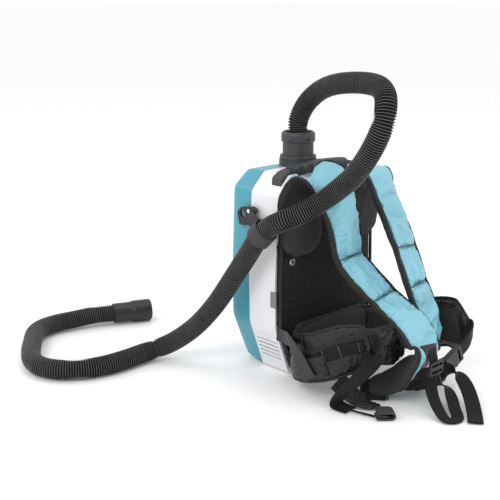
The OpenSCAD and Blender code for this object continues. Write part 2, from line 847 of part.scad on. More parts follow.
fan_top = deck_z - 8;
fan_h = 14;
stator_z0 = motor_z0 + 14;
stator_z1 = fan_top - fan_h - 14;

module fan_housing() {
  color(dark)
    translate([0, motor_y, 0])
      difference() {
        disc(motor_r - 0.5, fan_top - fan_h - 8, fan_top + 3.5);
        disc(motor_r - 3, fan_top - fan_h - 3, fan_top + 1);
        disc(fan_r - 18, fan_top, fan_top + 5);
        disc(15.5, fan_top - fan_h - 10, fan_top);
        // diffuser slots round the back plate
        for (a = [0:36:324]) rotate([0, 0, a])
          block([fan_r - 12, fan_r + 1], [-4, 4], [fan_top - fan_h - 10, fan_top - fan_h - 2]);
      }
}

// Closed fan wheel with backward-curved blades between its two plates
module fan_wheel() {
  z0 = fan_top - fan_h;
  eye_r = 18;
  blade_r = 30;
  color(grey)
    translate([0, motor_y, 0]) {
      difference() {
        union() {
          disc(fan_r, z0, z0 + 1.6);
          disc(9, z0 - 1, z0 + 8);
          tube(fan_r, eye_r, z0 + fan_h - 3.2, z0 + fan_h - 1.6);
          intersection() {
            tube(fan_r, 12, z0 + 1, z0 + fan_h - 2);
            for (i = [0:fan_blades - 1]) rotate([0, 0, i * 360 / fan_blades])
              translate([14, -blade_r + 8, 0])
                difference() {
                  disc(blade_r, z0 + 1, z0 + fan_h - 2);
                  disc(blade_r - 1.4, z0, z0 + fan_h);
                  block([-60, 60], [-60, 4], [z0 - 1, z0 + fan_h + 1]);
                  block([-60, 0], [-60, 60], [z0 - 1, z0 + fan_h + 1]);
                }
          }
        }
        disc(shaft_r, z0 - 5, z0 + 12);
      }
    }
}

module motor_shaft() {
  color(steel)
    translate([0, motor_y, 0]) {
      disc(shaft_r, motor_z0 + 3, fan_top - fan_h + 9);
      disc(17, stator_z0 + 6, stator_z1 - 6);
    }
}

module motor_bearings() {
  color(steel)
    translate([0, motor_y, 0]) {
      tube(9, shaft_r + shaft_clear, stator_z0 - 8, stator_z0 - 1);
      tube(9, shaft_r + shaft_clear, stator_z1 + 1, stator_z1 + 8);
    }
}

module motor_stator() {
  color("#9a9a9e")
    translate([0, motor_y, 0])
      difference() {
        union() {
          disc(30, stator_z0, stator_z1);
          disc(14, stator_z0 - 8, stator_z1 + 8);
        }
        disc(18, stator_z0 + 5, stator_z1 - 5);
        disc(shaft_r + 2, stator_z0 - 20, stator_z1 + 20);
        disc(9, stator_z0 - 10, stator_z0 - 1);
        disc(9, stator_z1 + 1, stator_z1 + 10);
      }
}

module motor_mounts() {
  color(black)
    translate([0, motor_y, 0]) {
      tube(34, 22, motor_z0, stator_z0);
      tube(24, 16, stator_z1, fan_top - fan_h - 8);
    }
}

module exhaust_foam() {
  x = bay_x + pack_w / 2 + pack_clear + duct_wall;
  color("#5b5b58") both_sides() block([x, x + 6], [front_y + 8, seam_y - 6], [louvre_z0 - 4, knee_z - 8]);
}

module motor_cover() {
  y1 = motor_y + motor_r + 1;
  color("#dcdcdc")
    difference() {
      block([-motor_r - 4, motor_r + 4], [seam_y, y1 + 2.5], [motor_z0 - 3, deck_z]);
      block([-motor_r - 1, motor_r + 1], [seam_y - 1, y1], [motor_z0, deck_z - 3]);
      for (x = [-1, 1]) for (z = [motor_z0 + 12, deck_z - 14])
        translate([x * (motor_r + 2.6), seam_y - 1, z]) rotate([-90, 0, 0])
          cylinder(r = 0.9, h = y1 + 10, $fn = 24);
    }
}

module control_board() {
  color("#2f6b4a")
    block([-40, 40], [front_y + wall + 2.3, front_y + wall + 3.9], [motor_z0 + 8, deck_z - 12]);
}

// ---- batteries and switch --------------------------------------------------------------------

pack_z = 2;
button_w = 24;
button_d = 9;
button_h = 6;
button_y = bay_y + pack_d / 2 - 10;

module battery(x) {
  color(black)
    difference() {
      union() {
        translate([x, bay_y, pack_z]) linear_extrude(pack_h) polygon(rect_outline(pack_w, pack_d, 4));
      }
      // rails that take the terminal block, and the recess of the release button
      for (s = [-1, 1]) block([x + s * 14 - 2.4, x + s * 14 + 2.4], [bay_y - 14, bay_y + 14],
        [pack_z + pack_h - 12, pack_z + pack_h + 1]);
      block([x - button_w / 2 - 0.4, x + button_w / 2 + 0.4],
        [button_y - button_d / 2 - button_travel - 0.4, button_y + button_d / 2 + 0.4],
        [pack_z - 1, pack_z + button_h + 0.4]);
      for (i = [-2:2]) block([x + i * 11 - 1, x + i * 11 + 1],
          [bay_y - pack_d / 2 - 1, bay_y - pack_d / 2 + 1],
        [pack_z + 6, pack_z + 40]);
    }
}

module battery_left() {
  battery(-bay_x);
}

module battery_right() {
  battery(bay_x);
}

module battery_button(x) {
  color("#b8443c")
    difference() {
      block([x - button_w / 2, x + button_w / 2], [button_y - button_d / 2, button_y + button_d / 2],
        [pack_z + 0.2, pack_z + button_h]);
      for (i = [-1:1]) block([x - button_w / 2 + 3, x + button_w / 2 - 3],
        [button_y + i * 2.4 - 0.5, button_y + i * 2.4 + 0.5], [pack_z, pack_z + 0.9]);
    }
}

module battery_button_left() {
  battery_button(-bay_x);
}

module battery_button_right() {
  battery_button(bay_x);
}

module battery_terminals() {
  color(steel)
    both_sides() for (s = [-1, 1])
      block([bay_x + s * 14 - 1.6, bay_x + s * 14 + 1.6], [bay_y - 12, bay_y + 12],
        [pack_z + pack_h - 10, bay_top]);
}

power_z = 300;
power_y = -20;
power_r = 8;
power_x = body_w / 2 - 7;

module power_boss() {
  translate([power_x - 12, power_y, power_z]) rotate([0, 90, 0]) cylinder(r = power_r + 3, h = 30);
}

module power_seat(grow) {
  translate([power_x - 8, power_y, power_z]) rotate([0, 90, 0]) cylinder(r = power_r + grow, h = 30);
}

// Standby button in the right shoulder
module power_button() {
  color(dark)
    translate([power_x - 4, power_y, power_z]) rotate([0, 90, 0]) {
      cylinder(r = power_r, h = 9);
      translate([0, 0, 9]) cylinder(r1 = power_r, r2 = power_r - 1.2, h = 1.2);
    }
}

// ---- harness ---------------------------------------------------------------------------------

board_foot = 8;
board_top = well_z + 8;
lumbar_y = board_y;
lumbar_w = 176;

function board_outline(inset) = rounded(
  mirrored([
    [base_w / 2 - inset, board_foot + inset],
    [body_w / 2 - 4 - inset, knee_z + 2],
    [body_w / 2 - 2 - inset, mid_z],
    [body_w / 2 - 6 - inset, board_top - 20],
    [body_w / 2 - 26 - inset, board_top - inset]
  ]),
  twice([14, 40, 90, 14, 12]), 4
);

// Padded board that lies against the wearer's back
module back_board() {
  depth = [0, board_t * 0.5, board_t * 0.8, board_t * 0.95, board_t];
  inset = [0, 0.8, 4, 8, 14];
  color(black)
    difference() {
      skin([for (i = [0:4]) [for (q = board_outline(inset[i])) [q.x, front_y - depth[i], q.y]]]);
      both_sides() board_screw_holes(screw_r, front_y + 2);
      translate([eyelet_x, 0, eyelet_z]) rotate([90, 0, 0]) cylinder(r = 3.8, h = 120, $fn = 32);
    }
}

screw_spots = [[0, 60], [70, 150], [70, 262]];
eyelet_x = -91;
eyelet_z = 208;

module board_screw_holes(r, deep) {
  for (q = screw_spots) translate([q[0], deep, q[1]]) rotate([90, 0, 0]) cylinder(r = r, h = 60, $fn = 32);
}

module board_screws() {
  color(steel)
    for (q = [screw_spots[0], screw_spots[1], screw_spots[2], [-screw_spots[1].x, screw_spots[1].y],
      [-screw_spots[2].x, screw_spots[2].y]])
      translate([q.x, front_y + 11, q.y]) rotate([90, 0, 0])
        cylinder(r = screw_r - 0.2, h = board_t + 9, $fn = 32);
}

module board_eyelet() {
  color(steel)
    translate([eyelet_x, board_y, eyelet_z]) rotate([90, 0, 0])
      rotate_extrude($fn = 32)
        polygon([[2.4, -8], [3.8, -8], [3.8, 0], [5.8, 0], [6.5, 0.6], [5.8, 1.4], [2.4, 1.4]]);
}

clip_z = 143;

module clip_seat(grow) {
  block([body_w / 2 - 6 - grow, body_w / 2 + 20], [front_y - 1, front_y + 9 + grow],
    [clip_z - 13.5 - grow, clip_z + 13.5 + grow]);
}

// Clips that hook the board's side edges to the housing
module side_clips() {
  color(grey)
    both_sides() {
      block([body_w / 2 - 6, body_w / 2 + 1.5], [front_y + 0.3, front_y + 9], [clip_z - 13.5, clip_z + 13.5]);
      block([body_w / 2 - 1.4, body_w / 2 + 1.5], [front_y - 4, front_y + 1], [clip_z - 13.5, clip_z + 13.5]);
    }
}

// Middle lines of the shoulder straps, from the low end on the board, over the fold and down
strap_left_route = [
  [-80, -78, 222], [-80.5, -78, 250], [-83, -78.2, 285], [-86, -82, 324], [-71, -96, 357],
  [-57, -118, 348], [-46, -130, 310], [-37, -138, 268], [-33, -147, 224], [-31, -170, 200],
  [-23, -210, 168], [-18, -244, 145], [-13, -272, 122], [-14, -290, 94], [-29, -284, 70],
  [-33, -262, 44], [-43, -236, 26], [-55, -214, 19]
];
strap_left_side = [
  [1, 0, 0], [1, 0, 0], [1, 0, 0], [0.97, -0.2, 0.1], [0.9, -0.34, 0.18], [0.95, -0.25, 0.1],
  [1, -0.08, 0.03], [1, 0, 0], [1, 0, 0], [1, 0, 0], [1, 0, 0], [1, 0, 0], [1, 0, 0], [1, 0.1, 0],
  [0.85, 0.45, 0.15], [0.5, 0.8, 0.25], [0.3, 0.9, 0.3], [0.2, 0.9, 0.3]
];
strap_left_width = [
  0.8, 1.2, 1.24, 1.28, 1.28, 1.2, 1.06, 1, 1, 1, 1, 1.02, 1.05, 1.05, 0.95, 0.86, 0.74, 0.6
];
strap_left_swell = [0.45, 1, 1, 1, 0.9, 1, 1, 1, 0.45, 1, 0.45, 1, 1, 0.9, 0.8, 0.8, 0.8, 0.4];
strap_right_route = [
  [75, -77.6, 230], [75, -77.6, 256], [75, -77.6, 290], [74, -80, 320], [68, -98, 345],
  [61, -123, 341], [55, -147, 311], [50, -174, 274], [46, -199, 236], [46, -227, 176],
  [56, -240, 133], [56, -251, 99], [51, -257, 79.5]
];
strap_right_side = [
  [1, 0, 0], [1, 0, 0], [1, 0, 0], [1, 0, 0], [0.99, 0.1, 0], for (i = [5:12]) [0.98, 0.2, 0]
];
strap_right_width = [0.6, 0.95, 1, 1, 1, 0.97, 0.94, 0.94, 0.94, 0.94, 0.94, 0.92, 0.8];
strap_right_swell = [0.45, 1, 1, 1, 0.9, 1, 1, 1, 0.45, 1, 0.45, 1, 0.5];
strap_face = [
  [-1, -0.6], [1, -0.6], [0.97, 3], [0.78, 7], [0.4, 9], [-0.4, 9], [-0.78, 7], [-0.97, 3]
];
// The lining is squeezed where the strap folds over its top
strap_lining = [[-1, -9], [-0.92, -11.5], [0.92, -11.5], [1, -9], [1, -1.5], [-1, -1.5]];
lining_left_swell = [0.8, 0.8, 0.8, 0.7, 0.55, 0.7, for (i = [6:15]) 1, 0.8, 0.8];
lining_right_swell = [0.8, 0.8, 0.8, 0.7, 0.55, 0.7, for (i = [6:12]) 1];

module strap_left() {
  color(blue)
    band(strap_left_route, strap_left_side, strap_face, strap_w / 2 * strap_left_width, strap_left_swell);
}

module strap_lining_left() {
  color(black)
    band(strap_left_route, strap_left_side, strap_lining, strap_w / 2 * strap_left_width,
      lining_left_swell, cross = true);
}

module strap_right() {
  color(blue)
    band(strap_right_route, strap_right_side, strap_face, strap_w / 2 * strap_right_width, strap_right_swell);
}

module strap_lining_right() {
  color(black)
    band(strap_right_route, strap_right_side, strap_lining, strap_w / 2 * strap_right_width,
      lining_right_swell, cross = true);
}

// Flat black end that hangs from the right strap to the floor
module strap_tail_right() {
  color(black)
    webbing([[50.6, -257.4, 78.2], [46.2, -261.4, 64.9], [43, -251, 46], [40, -243, 29], [35, -233, 13],
      [30, -224, 4.6]],
      [[0.98, 0.2, 0], [0.98, 0.2, 0], [0.98, 0.2, 0], [0.98, 0.2, 0], [0.96, 0.26, 0],
        [0.88, 0.45, 0]], 52, 4);
}

// Patch that ties the two straps together in front
module strap_joiner() {
  color(black)
    band_part(strap_left_route, strap_left_side, [[-0.36, 9.7], [0.36, 9.7], [0.36, 11.4], [-0.36, 11.4]],
      strap_w / 2 * strap_left_width, strap_left_swell, 24, 26);
}

module lumbar_pad() {
  depth = [0, 6, 13, 18, 21];
  inset = [1.5, 0, 1, 4, 10];
  color(black)
    skin([for (i = [0:4]) [for (q = rect_outline(lumbar_w - 2 * inset[i], 82 - 2 * inset[i], 16, 4))
      [q.x, lumbar_y - depth[i], q.y + 58]]]);
}

wing_left_route = [
  [-88.2, -82.4, 56], [-114, -97, 58], [-129, -128, 64], [-130, -170, 78], [-118, -212, 99],
  [-96, -246, 112]
];
wing_right_route = [
  [88.2, -82.4, 56], [114, -97, 58], [128, -132, 62], [133, -180, 74], [130, -225, 90],
  [122, -260, 95], [117, -283, 101]
];
wing_section = [
  [-1, -2], [-1, 2], [-0.86, 8], [-0.4, 11], [0.4, 11], [0.86, 8], [1, 2], [1, -2], [0.86, -6], [-0.86, -6]
];

module hip_wing_left() {
  color(black) band(wing_left_route, [0, 0, -1], wing_section,
    wing_h / 2 * [0.9, 1, 1, 1, 1, 0.8], [0.8, 1, 1, 1, 0.9, 0.5]);
}

module hip_wing_right() {
  color(black) band(wing_right_route, [0, 0, 1], wing_section,
    wing_h / 2 * [0.9, 1, 1.05, 1.08, 1.08, 1.06, 0.45], [0.8, 1, 1, 1, 1, 0.9, 0.5]);
}

module hip_pocket() {
  color(black)
    band_part(wing_left_route, [0, 0, -1],
      [[-0.55, 12], [0.55, 12], [0.5, 17], [0.3, 19.5], [-0.3, 19.5], [-0.5, 17]],
      wing_h / 2 * [0.9, 1, 1, 1, 1, 0.8], [0.8, 1, 1, 1, 0.9, 0.5], 4, 7);
}

// Strap that ties the board's low corner to the hip wing
module strap_webbing_left() {
  color(dark)
    webbing([[-114.6, -57, 84], [-115.4, -68, 84], [-124, -85, 87], [-134, -101, 92], [-144, -116, 94],
      [-148, -133, 82], [-148, -150, 61], [-147, -164, 42]], [0, 0.3, 0.95], web_w, 2);
}

// Belt webbing that leaves the left wing's tip and hangs to the floor
module belt_webbing_left() {
  color(black)
    webbing([[-94.7, -247.9, 112.7], [-92, -254.5, 114.5], [-99, -263, 105], [-118, -258, 80],
      [-130, -241, 54], [-131, -218, 28], [-126, -205, 9], [-124, -212, 3], [-122, -230, 3]],
      [[-0.1, 0.14, 0.95], [0, 0.05, 1], [0.4, -0.1, 0.9], [0.8, -0.5, 0.3], [0.85, -0.5, 0], [0.9, -0.4, 0],
        [0.97, -0.2, 0], [0.99, 0.1, 0], [0.99, 0.11, 0]], belt_w * 0.75, 2.4);
}

// Thin cord from the belt webbing to its folded end
module keeper_cord() {
  color(black)
    webbing([[-121.9, -230.6, 3], [-119, -244, 3], [-114.5, -258, 2.6], [-110.9, -271, 2.3]],
      [0.9, -0.3, 0], 4, 1.6);
}

// Folded end of the left belt webbing
module folded_webbing() {
  color(dark)
    webbing([[-110, -272, 2.2], [-92, -287.8, 2.2], [-88.2, -291.2, 7.1], [-92, -287.8, 12],
      [-106.5, -275, 12], [-109.3, -272.6, 9.4], [-106, -275.5, 7.1], [-97, -283.4, 7.1]],
      [0.66, 0.75, 0], web_w + 3, 1.6);
}

// Webbing that falls from the left strap's low end and lies on the floor
module floor_webbing() {
  color(black)
    webbing([[-55.2, -213.7, 18.9], [-60, -206, 16.5], [-63, -201.5, 10], [-61.5, -204, 4], [-55, -213, 2.4],
      [-44, -227, 2.4], [-38, -235, 2.4]], [[0.62, 0.52, 0.53], [0.63, 0.6, 0.4], [0.7, 0.68, 0.1],
        [0.75, 0.65, 0], [0.78, 0.62, 0], [0.78, 0.62, 0], [0.78, 0.62, 0]], 30, 2.4);
}

module belt_webbing_right() {
  color(black)
    webbing([[116.4, -285, 101.6], [114.6, -291, 102], [108, -297, 97], [96.5, -299.5, 87],
      [84, -300, 77.6], [70.4, -300, 71.4]],
      [[0, 0.25, 1], [0, 0.1, 1], [0.1, 0, 1], [0.3, 0, 0.95], [-0.4, 0, 0.91], [-0.4, 0, 0.91]],
      belt_w * 0.62, 2.4);
}

// Socket of the belt buckle, on the end of the right webbing
module buckle_socket() {
  color(black)
    translate([71, -300, 71.6]) rotate([0, -24, 0]) translate([-22, 0, 0]) difference() {
      translate([-21, -5, -14]) cube([42, 10, 28]);
      translate([-22, -3, -11]) cube([29, 6, 22]);
      translate([10, -6, -12]) cube([5, 12, 24]);
    }
}

module webbing_loop() {
  color(black)
    webbing([[-13.1, -301.4, 97], [-13, -306, 86], [-13.4, -309, 72], [-13.6, -309, 58], [-18, -310, 47],
      [-27, -316, 36], [-36, -332, 20], [-41, -350, 6], [-41, -361, 2.8], [-31, -367, 2.6],
      [-19, -362, 3.6], [-10, -350, 10], [0, -337, 20], [7, -324, 30], [4, -312, 36], [-1, -303, 38.5],
      [4, -300.2, 41.4], [10.3, -300, 44.2]],
      [[1, 0, 0], [1, 0, 0], [1, 0, 0], [1, 0, 0], [0.9, -0.4, 0], [0.8, -0.6, 0], [0.9, -0.45, 0],
        [0.98, -0.17, 0], [0.85, 0.5, 0], [0, 1, 0], [-0.6, 0.75, 0], [-0.8, 0.6, 0], [-0.8, 0.6, 0],
        [-0.95, 0.1, 0.3], [-0.75, -0.1, 0.65], [-0.5, 0, 0.87], [-0.41, 0, 0.91],
        [-0.41, 0, 0.91]], web_w * 0.8, 2);
}

module webbing_tail() {
  color(black)
    webbing([[20, -303.7, 48.6], [31, -306, 51], [40, -321, 43], [36, -338, 32], [23, -357, 20],
      [3, -378, 8], [-18, -395, 3]],
      [[0.41, 0, -0.91], [0.5, -0.2, -0.8], [0.7, -0.5, -0.3], [0.8, -0.6, 0], [0.8, -0.6, 0],
        [0.8, -0.6, 0], [0.8, -0.6, 0]], web_w, 2);
}

// Adjusters under the joiner patch and behind the buckle
module ladder_locks() {
  color(black)
    for (q = [[-13.6, -312.9, 69, 0, 0], [21, -300, 49, 0, 66]])
      translate([q[0], q[1], q[2]]) rotate([0, q[4], 0]) rotate([q[3], 0, 0]) difference() {
        cube([32, 5, 22], center = true);
        for (z = [-5.5, 5.5]) translate([0, 0, z]) cube([27, 9, 4.5], center = true);
      }
}

main_housing();
motor_cover();
rear_cover();
cover_hinge_pin();
cover_seal();
cover_latch();
latch_pin();
inlet_neck();
neck_screws();
neck_seal();
hose_collar();
hose();
hose_cuff();
hose_holder();
holder_screw();
hose_strap();
carry_handle();
handle_screws();
dust_bag();
bag_collar();
filter_frame();
filter_pad();
fan_housing();
fan_wheel();
motor_shaft();
motor_bearings();
motor_stator();
motor_mounts();
exhaust_foam();
control_board();
power_button();
battery_left();
battery_right();
battery_button_left();
battery_button_right();
battery_terminals();
back_board();
board_screws();
board_eyelet();
side_clips();
strap_left();
strap_lining_left();
strap_right();
strap_lining_right();
strap_tail_right();
strap_joiner();
lumbar_pad();
hip_wing_left();
hip_wing_right();
hip_pocket();
strap_webbing_left();
belt_webbing_left();
belt_webbing_right();
webbing_loop();
webbing_tail();
ladder_locks();
buckle_socket();
folded_webbing();
keeper_cord();
floor_webbing();
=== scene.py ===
"""Backpack vacuum cleaner: camera, hose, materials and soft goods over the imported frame.

Shapes are given in millimetres and scaled by MM; the camera, the lights and the materials are in metres.
"""
import bpy, bmesh, json, math
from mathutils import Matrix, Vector, geometry, noise

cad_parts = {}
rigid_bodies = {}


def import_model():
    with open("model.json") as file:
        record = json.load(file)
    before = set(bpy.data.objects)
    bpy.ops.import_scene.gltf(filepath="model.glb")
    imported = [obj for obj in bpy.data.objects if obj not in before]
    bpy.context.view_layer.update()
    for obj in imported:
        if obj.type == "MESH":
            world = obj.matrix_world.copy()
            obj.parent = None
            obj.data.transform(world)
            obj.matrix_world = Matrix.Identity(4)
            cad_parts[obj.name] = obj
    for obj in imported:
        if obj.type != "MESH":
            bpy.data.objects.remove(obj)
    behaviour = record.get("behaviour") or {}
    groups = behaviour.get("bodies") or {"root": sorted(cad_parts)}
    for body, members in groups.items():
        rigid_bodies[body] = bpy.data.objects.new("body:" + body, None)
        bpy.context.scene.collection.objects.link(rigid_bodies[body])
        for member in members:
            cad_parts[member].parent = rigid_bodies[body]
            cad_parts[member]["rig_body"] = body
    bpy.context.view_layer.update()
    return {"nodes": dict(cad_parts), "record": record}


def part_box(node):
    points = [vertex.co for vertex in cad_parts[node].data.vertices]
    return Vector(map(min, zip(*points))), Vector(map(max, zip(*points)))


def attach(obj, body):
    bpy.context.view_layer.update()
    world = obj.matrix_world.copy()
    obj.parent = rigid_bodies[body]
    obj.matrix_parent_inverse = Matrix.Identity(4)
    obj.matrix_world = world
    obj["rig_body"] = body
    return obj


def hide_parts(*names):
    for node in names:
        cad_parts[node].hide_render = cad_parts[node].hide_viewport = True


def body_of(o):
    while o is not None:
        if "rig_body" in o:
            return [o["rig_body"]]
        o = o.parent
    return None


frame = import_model()
NODES = frame["nodes"]
SCENE = bpy.context.scene
MM = 0.001


# ---- camera ------------

CAMERA_PLACE = (-1.2182, -1.1553, 0.6572)
CAMERA_HEADING = 43.44  # degrees from +Y towards +X
CAMERA_PITCH = 15.3  # degrees downwards
SENSOR_WIDTH = 36  # millimetres, as is the focal length
FOCAL_LENGTH = 69.95
CLIP_NEAR, CLIP_FAR = 0.05, 60


def stand(name, data, place, way):
    """Object for a camera or a light, in its place and turned to look the given way."""
    o = bpy.data.objects.new(name, data)
    SCENE.collection.objects.link(o)
    o.location = place
    o.rotation_mode = "QUATERNION"
    o.rotation_quaternion = Vector(way).to_track_quat("-Z", "Y")
    return o


def look():
    data = bpy.data.cameras.new("camera")
    data.sensor_width = SENSOR_WIDTH
    data.lens = FOCAL_LENGTH
    data.clip_start, data.clip_end = CLIP_NEAR, CLIP_FAR
    a, e = math.radians(CAMERA_HEADING), math.radians(CAMERA_PITCH)
    way = (math.sin(a) * math.cos(e), math.cos(a) * math.cos(e), -math.sin(e))
    SCENE.camera = stand("camera", data, CAMERA_PLACE, way)


look()


# ---- routes and meshes ------------

SPAN_PARTS = 40  # parts of each span that a route's length is measured over


def at(values, t):
    """Smooth curve through values at t, the same one that the frame's own bands follow."""
    k = len(values)
    i = min(int(math.floor(t)), k - 2)
    u = t - i
    a, b, c, d = values[max(i - 1, 0)], values[i], values[i + 1], values[min(i + 2, k - 1)]
    return (2 * b + (c - a) * u + (2 * a - 5 * b + 4 * c - d) * u * u
            + (3 * b - a - 3 * c + d) * u ** 3) * 0.5


def lengths(points):
    """Length along a line of points, at each of them."""
    run = [0.0]
    for a, b in zip(points, points[1:]):
        run.append(run[-1] + (b - a).length)
    return run


class Route:
    """A spine with, at each step, a point, the way ahead, the way across and the face's way out."""

    def __init__(self, points, side, step):
        knots = [Vector(p) for p in points]
        sides = [Vector(s) for s in (side if hasattr(side[0], "__len__") else [side] * len(points))]
        fine = lengths([at(knots, i / SPAN_PARTS) for i in range((len(points) - 1) * SPAN_PARTS + 1)])
        self.length = fine[-1]
        n = max(2, round(self.length / step))
        self.run = [self.length * i / n for i in range(n + 1)]
        self.t = []
        j = 0
        for s in self.run:
            while j < len(fine) - 2 and fine[j + 1] < s:
                j += 1
            f = (s - fine[j]) / max(fine[j + 1] - fine[j], 1e-9)
            self.t.append((j + min(max(f, 0), 1)) / SPAN_PARTS)
        self.p = [at(knots, t) for t in self.t]
        self.ahead, self.across, self.out = [], [], []
        for i, t in enumerate(self.t):
            d = (self.p[min(i + 1, n)] - self.p[max(i - 1, 0)]).normalized()
            s = at(sides, t)
            s = (s - s.dot(d) * d).normalized()
            self.ahead.append(d)
            self.across.append(s)
            self.out.append(d.cross(s))

    def step_at(self, t):
        """Step nearest to route point t."""
        return min(range(len(self.t)), key=lambda i: abs(self.t[i] - t))

    def values(self, values):
        """Smooth curve through one value for each route point, at every step."""
        return [at(values, t) for t in self.t]

    def lay(self, i, x, y):
        """Point of a section at step i, x across and y outward."""
        return self.p[i] + self.across[i] * x + self.out[i] * y


def smooth_shaded(data):
    data.polygons.foreach_set("use_smooth", [True] * len(data.polygons))


def mesh(name, verts, faces, uvs=None):
    """Mesh object from points in millimetres, fixed to the housing."""
    data = bpy.data.meshes.new(name)
    data.from_pydata([Vector(v) * MM for v in verts], [], faces)
    if uvs is not None:
        data.uv_layers.new(name="UVMap").data.foreach_set("uv", [c for u in uvs for c in u])
    data.validate()
    b = bmesh.new()
    b.from_mesh(data)
    bmesh.ops.recalc_face_normals(b, faces=b.faces)
    b.to_mesh(data)
    b.free()
    smooth_shaded(data)
    o = bpy.data.objects.new(name, data)
    SCENE.collection.objects.link(o)
    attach(o, "housing")
    return o


def lofted(name, rings, runs, looped=False):
    """Skin over rings of equal count, capped or looped, with UVs in metres along and round."""
    m = len(rings[0])
    middle = rings[len(rings) // 2]
    girth = lengths(middle + middle[:1])
    verts = [p for r in rings for p in r]
    faces, uvs = [], []
    for j, (near, far) in enumerate(zip(runs, runs[1:])):
        a, b = j * m, (j + 1) % len(rings) * m
        for i in range(m):
            k = (i + 1) % m
            g, h = girth[i] * MM, girth[i + 1] * MM
            faces.append((a + i, a + k, b + k, b + i))
            uvs += [(near * MM, g), (near * MM, h), (far * MM, h), (far * MM, g)]
    if not looped:
        for cap in (range(m - 1, -1, -1), range(len(verts) - m, len(verts))):
            faces.append(tuple(cap))
            uvs += [(0, 0)] * m
    return mesh(name, verts, faces, uvs)


def circle(centre, u, v, radius, sides):
    """Ring of points round a centre, in the plane of u and v."""
    return [centre + (u * math.cos(q) + v * math.sin(q)) * radius
            for q in (2 * math.pi * a / sides for a in range(sides))]


def spaced(n):
    """n + 1 even steps from -1 to 1."""
    return [-1 + 2 * c / n for c in range(n + 1)]


def bell(distance, reach):
    """1 at a line, fading to nothing over about twice the reach."""
    return math.exp(-(distance / reach) ** 2)


def n3(x, y, z, seed=0.0):
    """Smooth noise between about -1 and 1; each seed reads another part of it."""
    return noise.noise(Vector((x + seed * 7.31, y - seed * 3.17, z + seed * 5.83)))


# ---- hose ------------

HOSE_ROUTE = [
    (0, 9, 380), (0, 9, 405), (0, 9, 430), (4, -4, 458), (4, -30, 480), (-5, -65, 494),
    (-20, -108, 503), (-32, -158, 508), (-45, -200, 507), (-58, -225, 498), (-70, -238, 482),
    (-78, -241, 458), (-82, -232, 430), (-83, -214, 400), (-84, -190, 370), (-92, -162, 343),
    (-109, -138, 320.5), (-127, -119, 305.5), (-143, -97, 293), (-149, -72, 278.5), (-152, -48, 255),
    (-153, -24, 222), (-157, 8, 176), (-165, 45, 122), (-175, 85, 76), (-188, 125, 42),
    (-206, 154, 23), (-236, 164, 18), (-275, 161, 18), (-315, 163, 18), (-352, 175, 18),
    (-384, 199, 18), (-400, 232, 18), (-396, 270, 18), (-374, 312, 18), (-346, 352, 18),
    (-320, 386, 18), (-290, 404, 18), (-256, 405, 19), (-224, 398, 20), (-192, 389.5, 21.8),
    (-168, 379, 21.8), (-136, 365, 21.8),
]
RIB_PITCH = 3.9
# one rib, from groove to groove: share of the pitch, radius
RIB_SHAPE = ((0.0, 14.5), (0.4, 14.5), (0.5, 16.8), (0.58, 17.45), (0.68, 17.4), (0.78, 16.6), (0.88, 14.6))
HOSE_STEP = 0.5
HOSE_SIDES = 28


def make_hose():
    """Ribbed hose along its route, and the step from rib to rib."""
    r = Route(HOSE_ROUTE, (1, 0, 0), HOSE_STEP)
    ribs = round(r.length / RIB_PITCH)
    pitch = r.length / ribs
    # a way across that is carried along without turning
    across = [Vector((1, 0, 0))]
    for ahead in r.ahead[1:]:
        across.append((across[-1] - across[-1].dot(ahead) * ahead).normalized())
    rings, runs, centres = [], [], []
    last = len(r.p) - 1
    for s, radius in [((k + share) * pitch, radius) for k in range(ribs) for share, radius in RIB_SHAPE]:
        step = s / r.length * last
        i = round(step)
        if i < last:
            c = r.p[i] + r.ahead[i] * (step - i) * HOSE_STEP
            rings.append(circle(c, across[i], r.ahead[i].cross(across[i]), radius, HOSE_SIDES))
            runs.append(s)
            centres.append(c)
    o = lofted("hose_ribbed", rings, runs)
    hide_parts("hose")
    return o, pitch


hose, RIB_STEP = make_hose()


# ---- materials: scales are per metre, depths in metres ------------

PLASTIC_EDGE, METAL_EDGE = 0.0007, 0.0003
# webbing: twill repeat along and across, and the fine ribs across
TWILL_ALONG, TWILL_ACROSS, PICKS = 0.0022, 0.0016, 0.0013
MESH_PITCH = 0.0034
ROOT_3 = 1.732


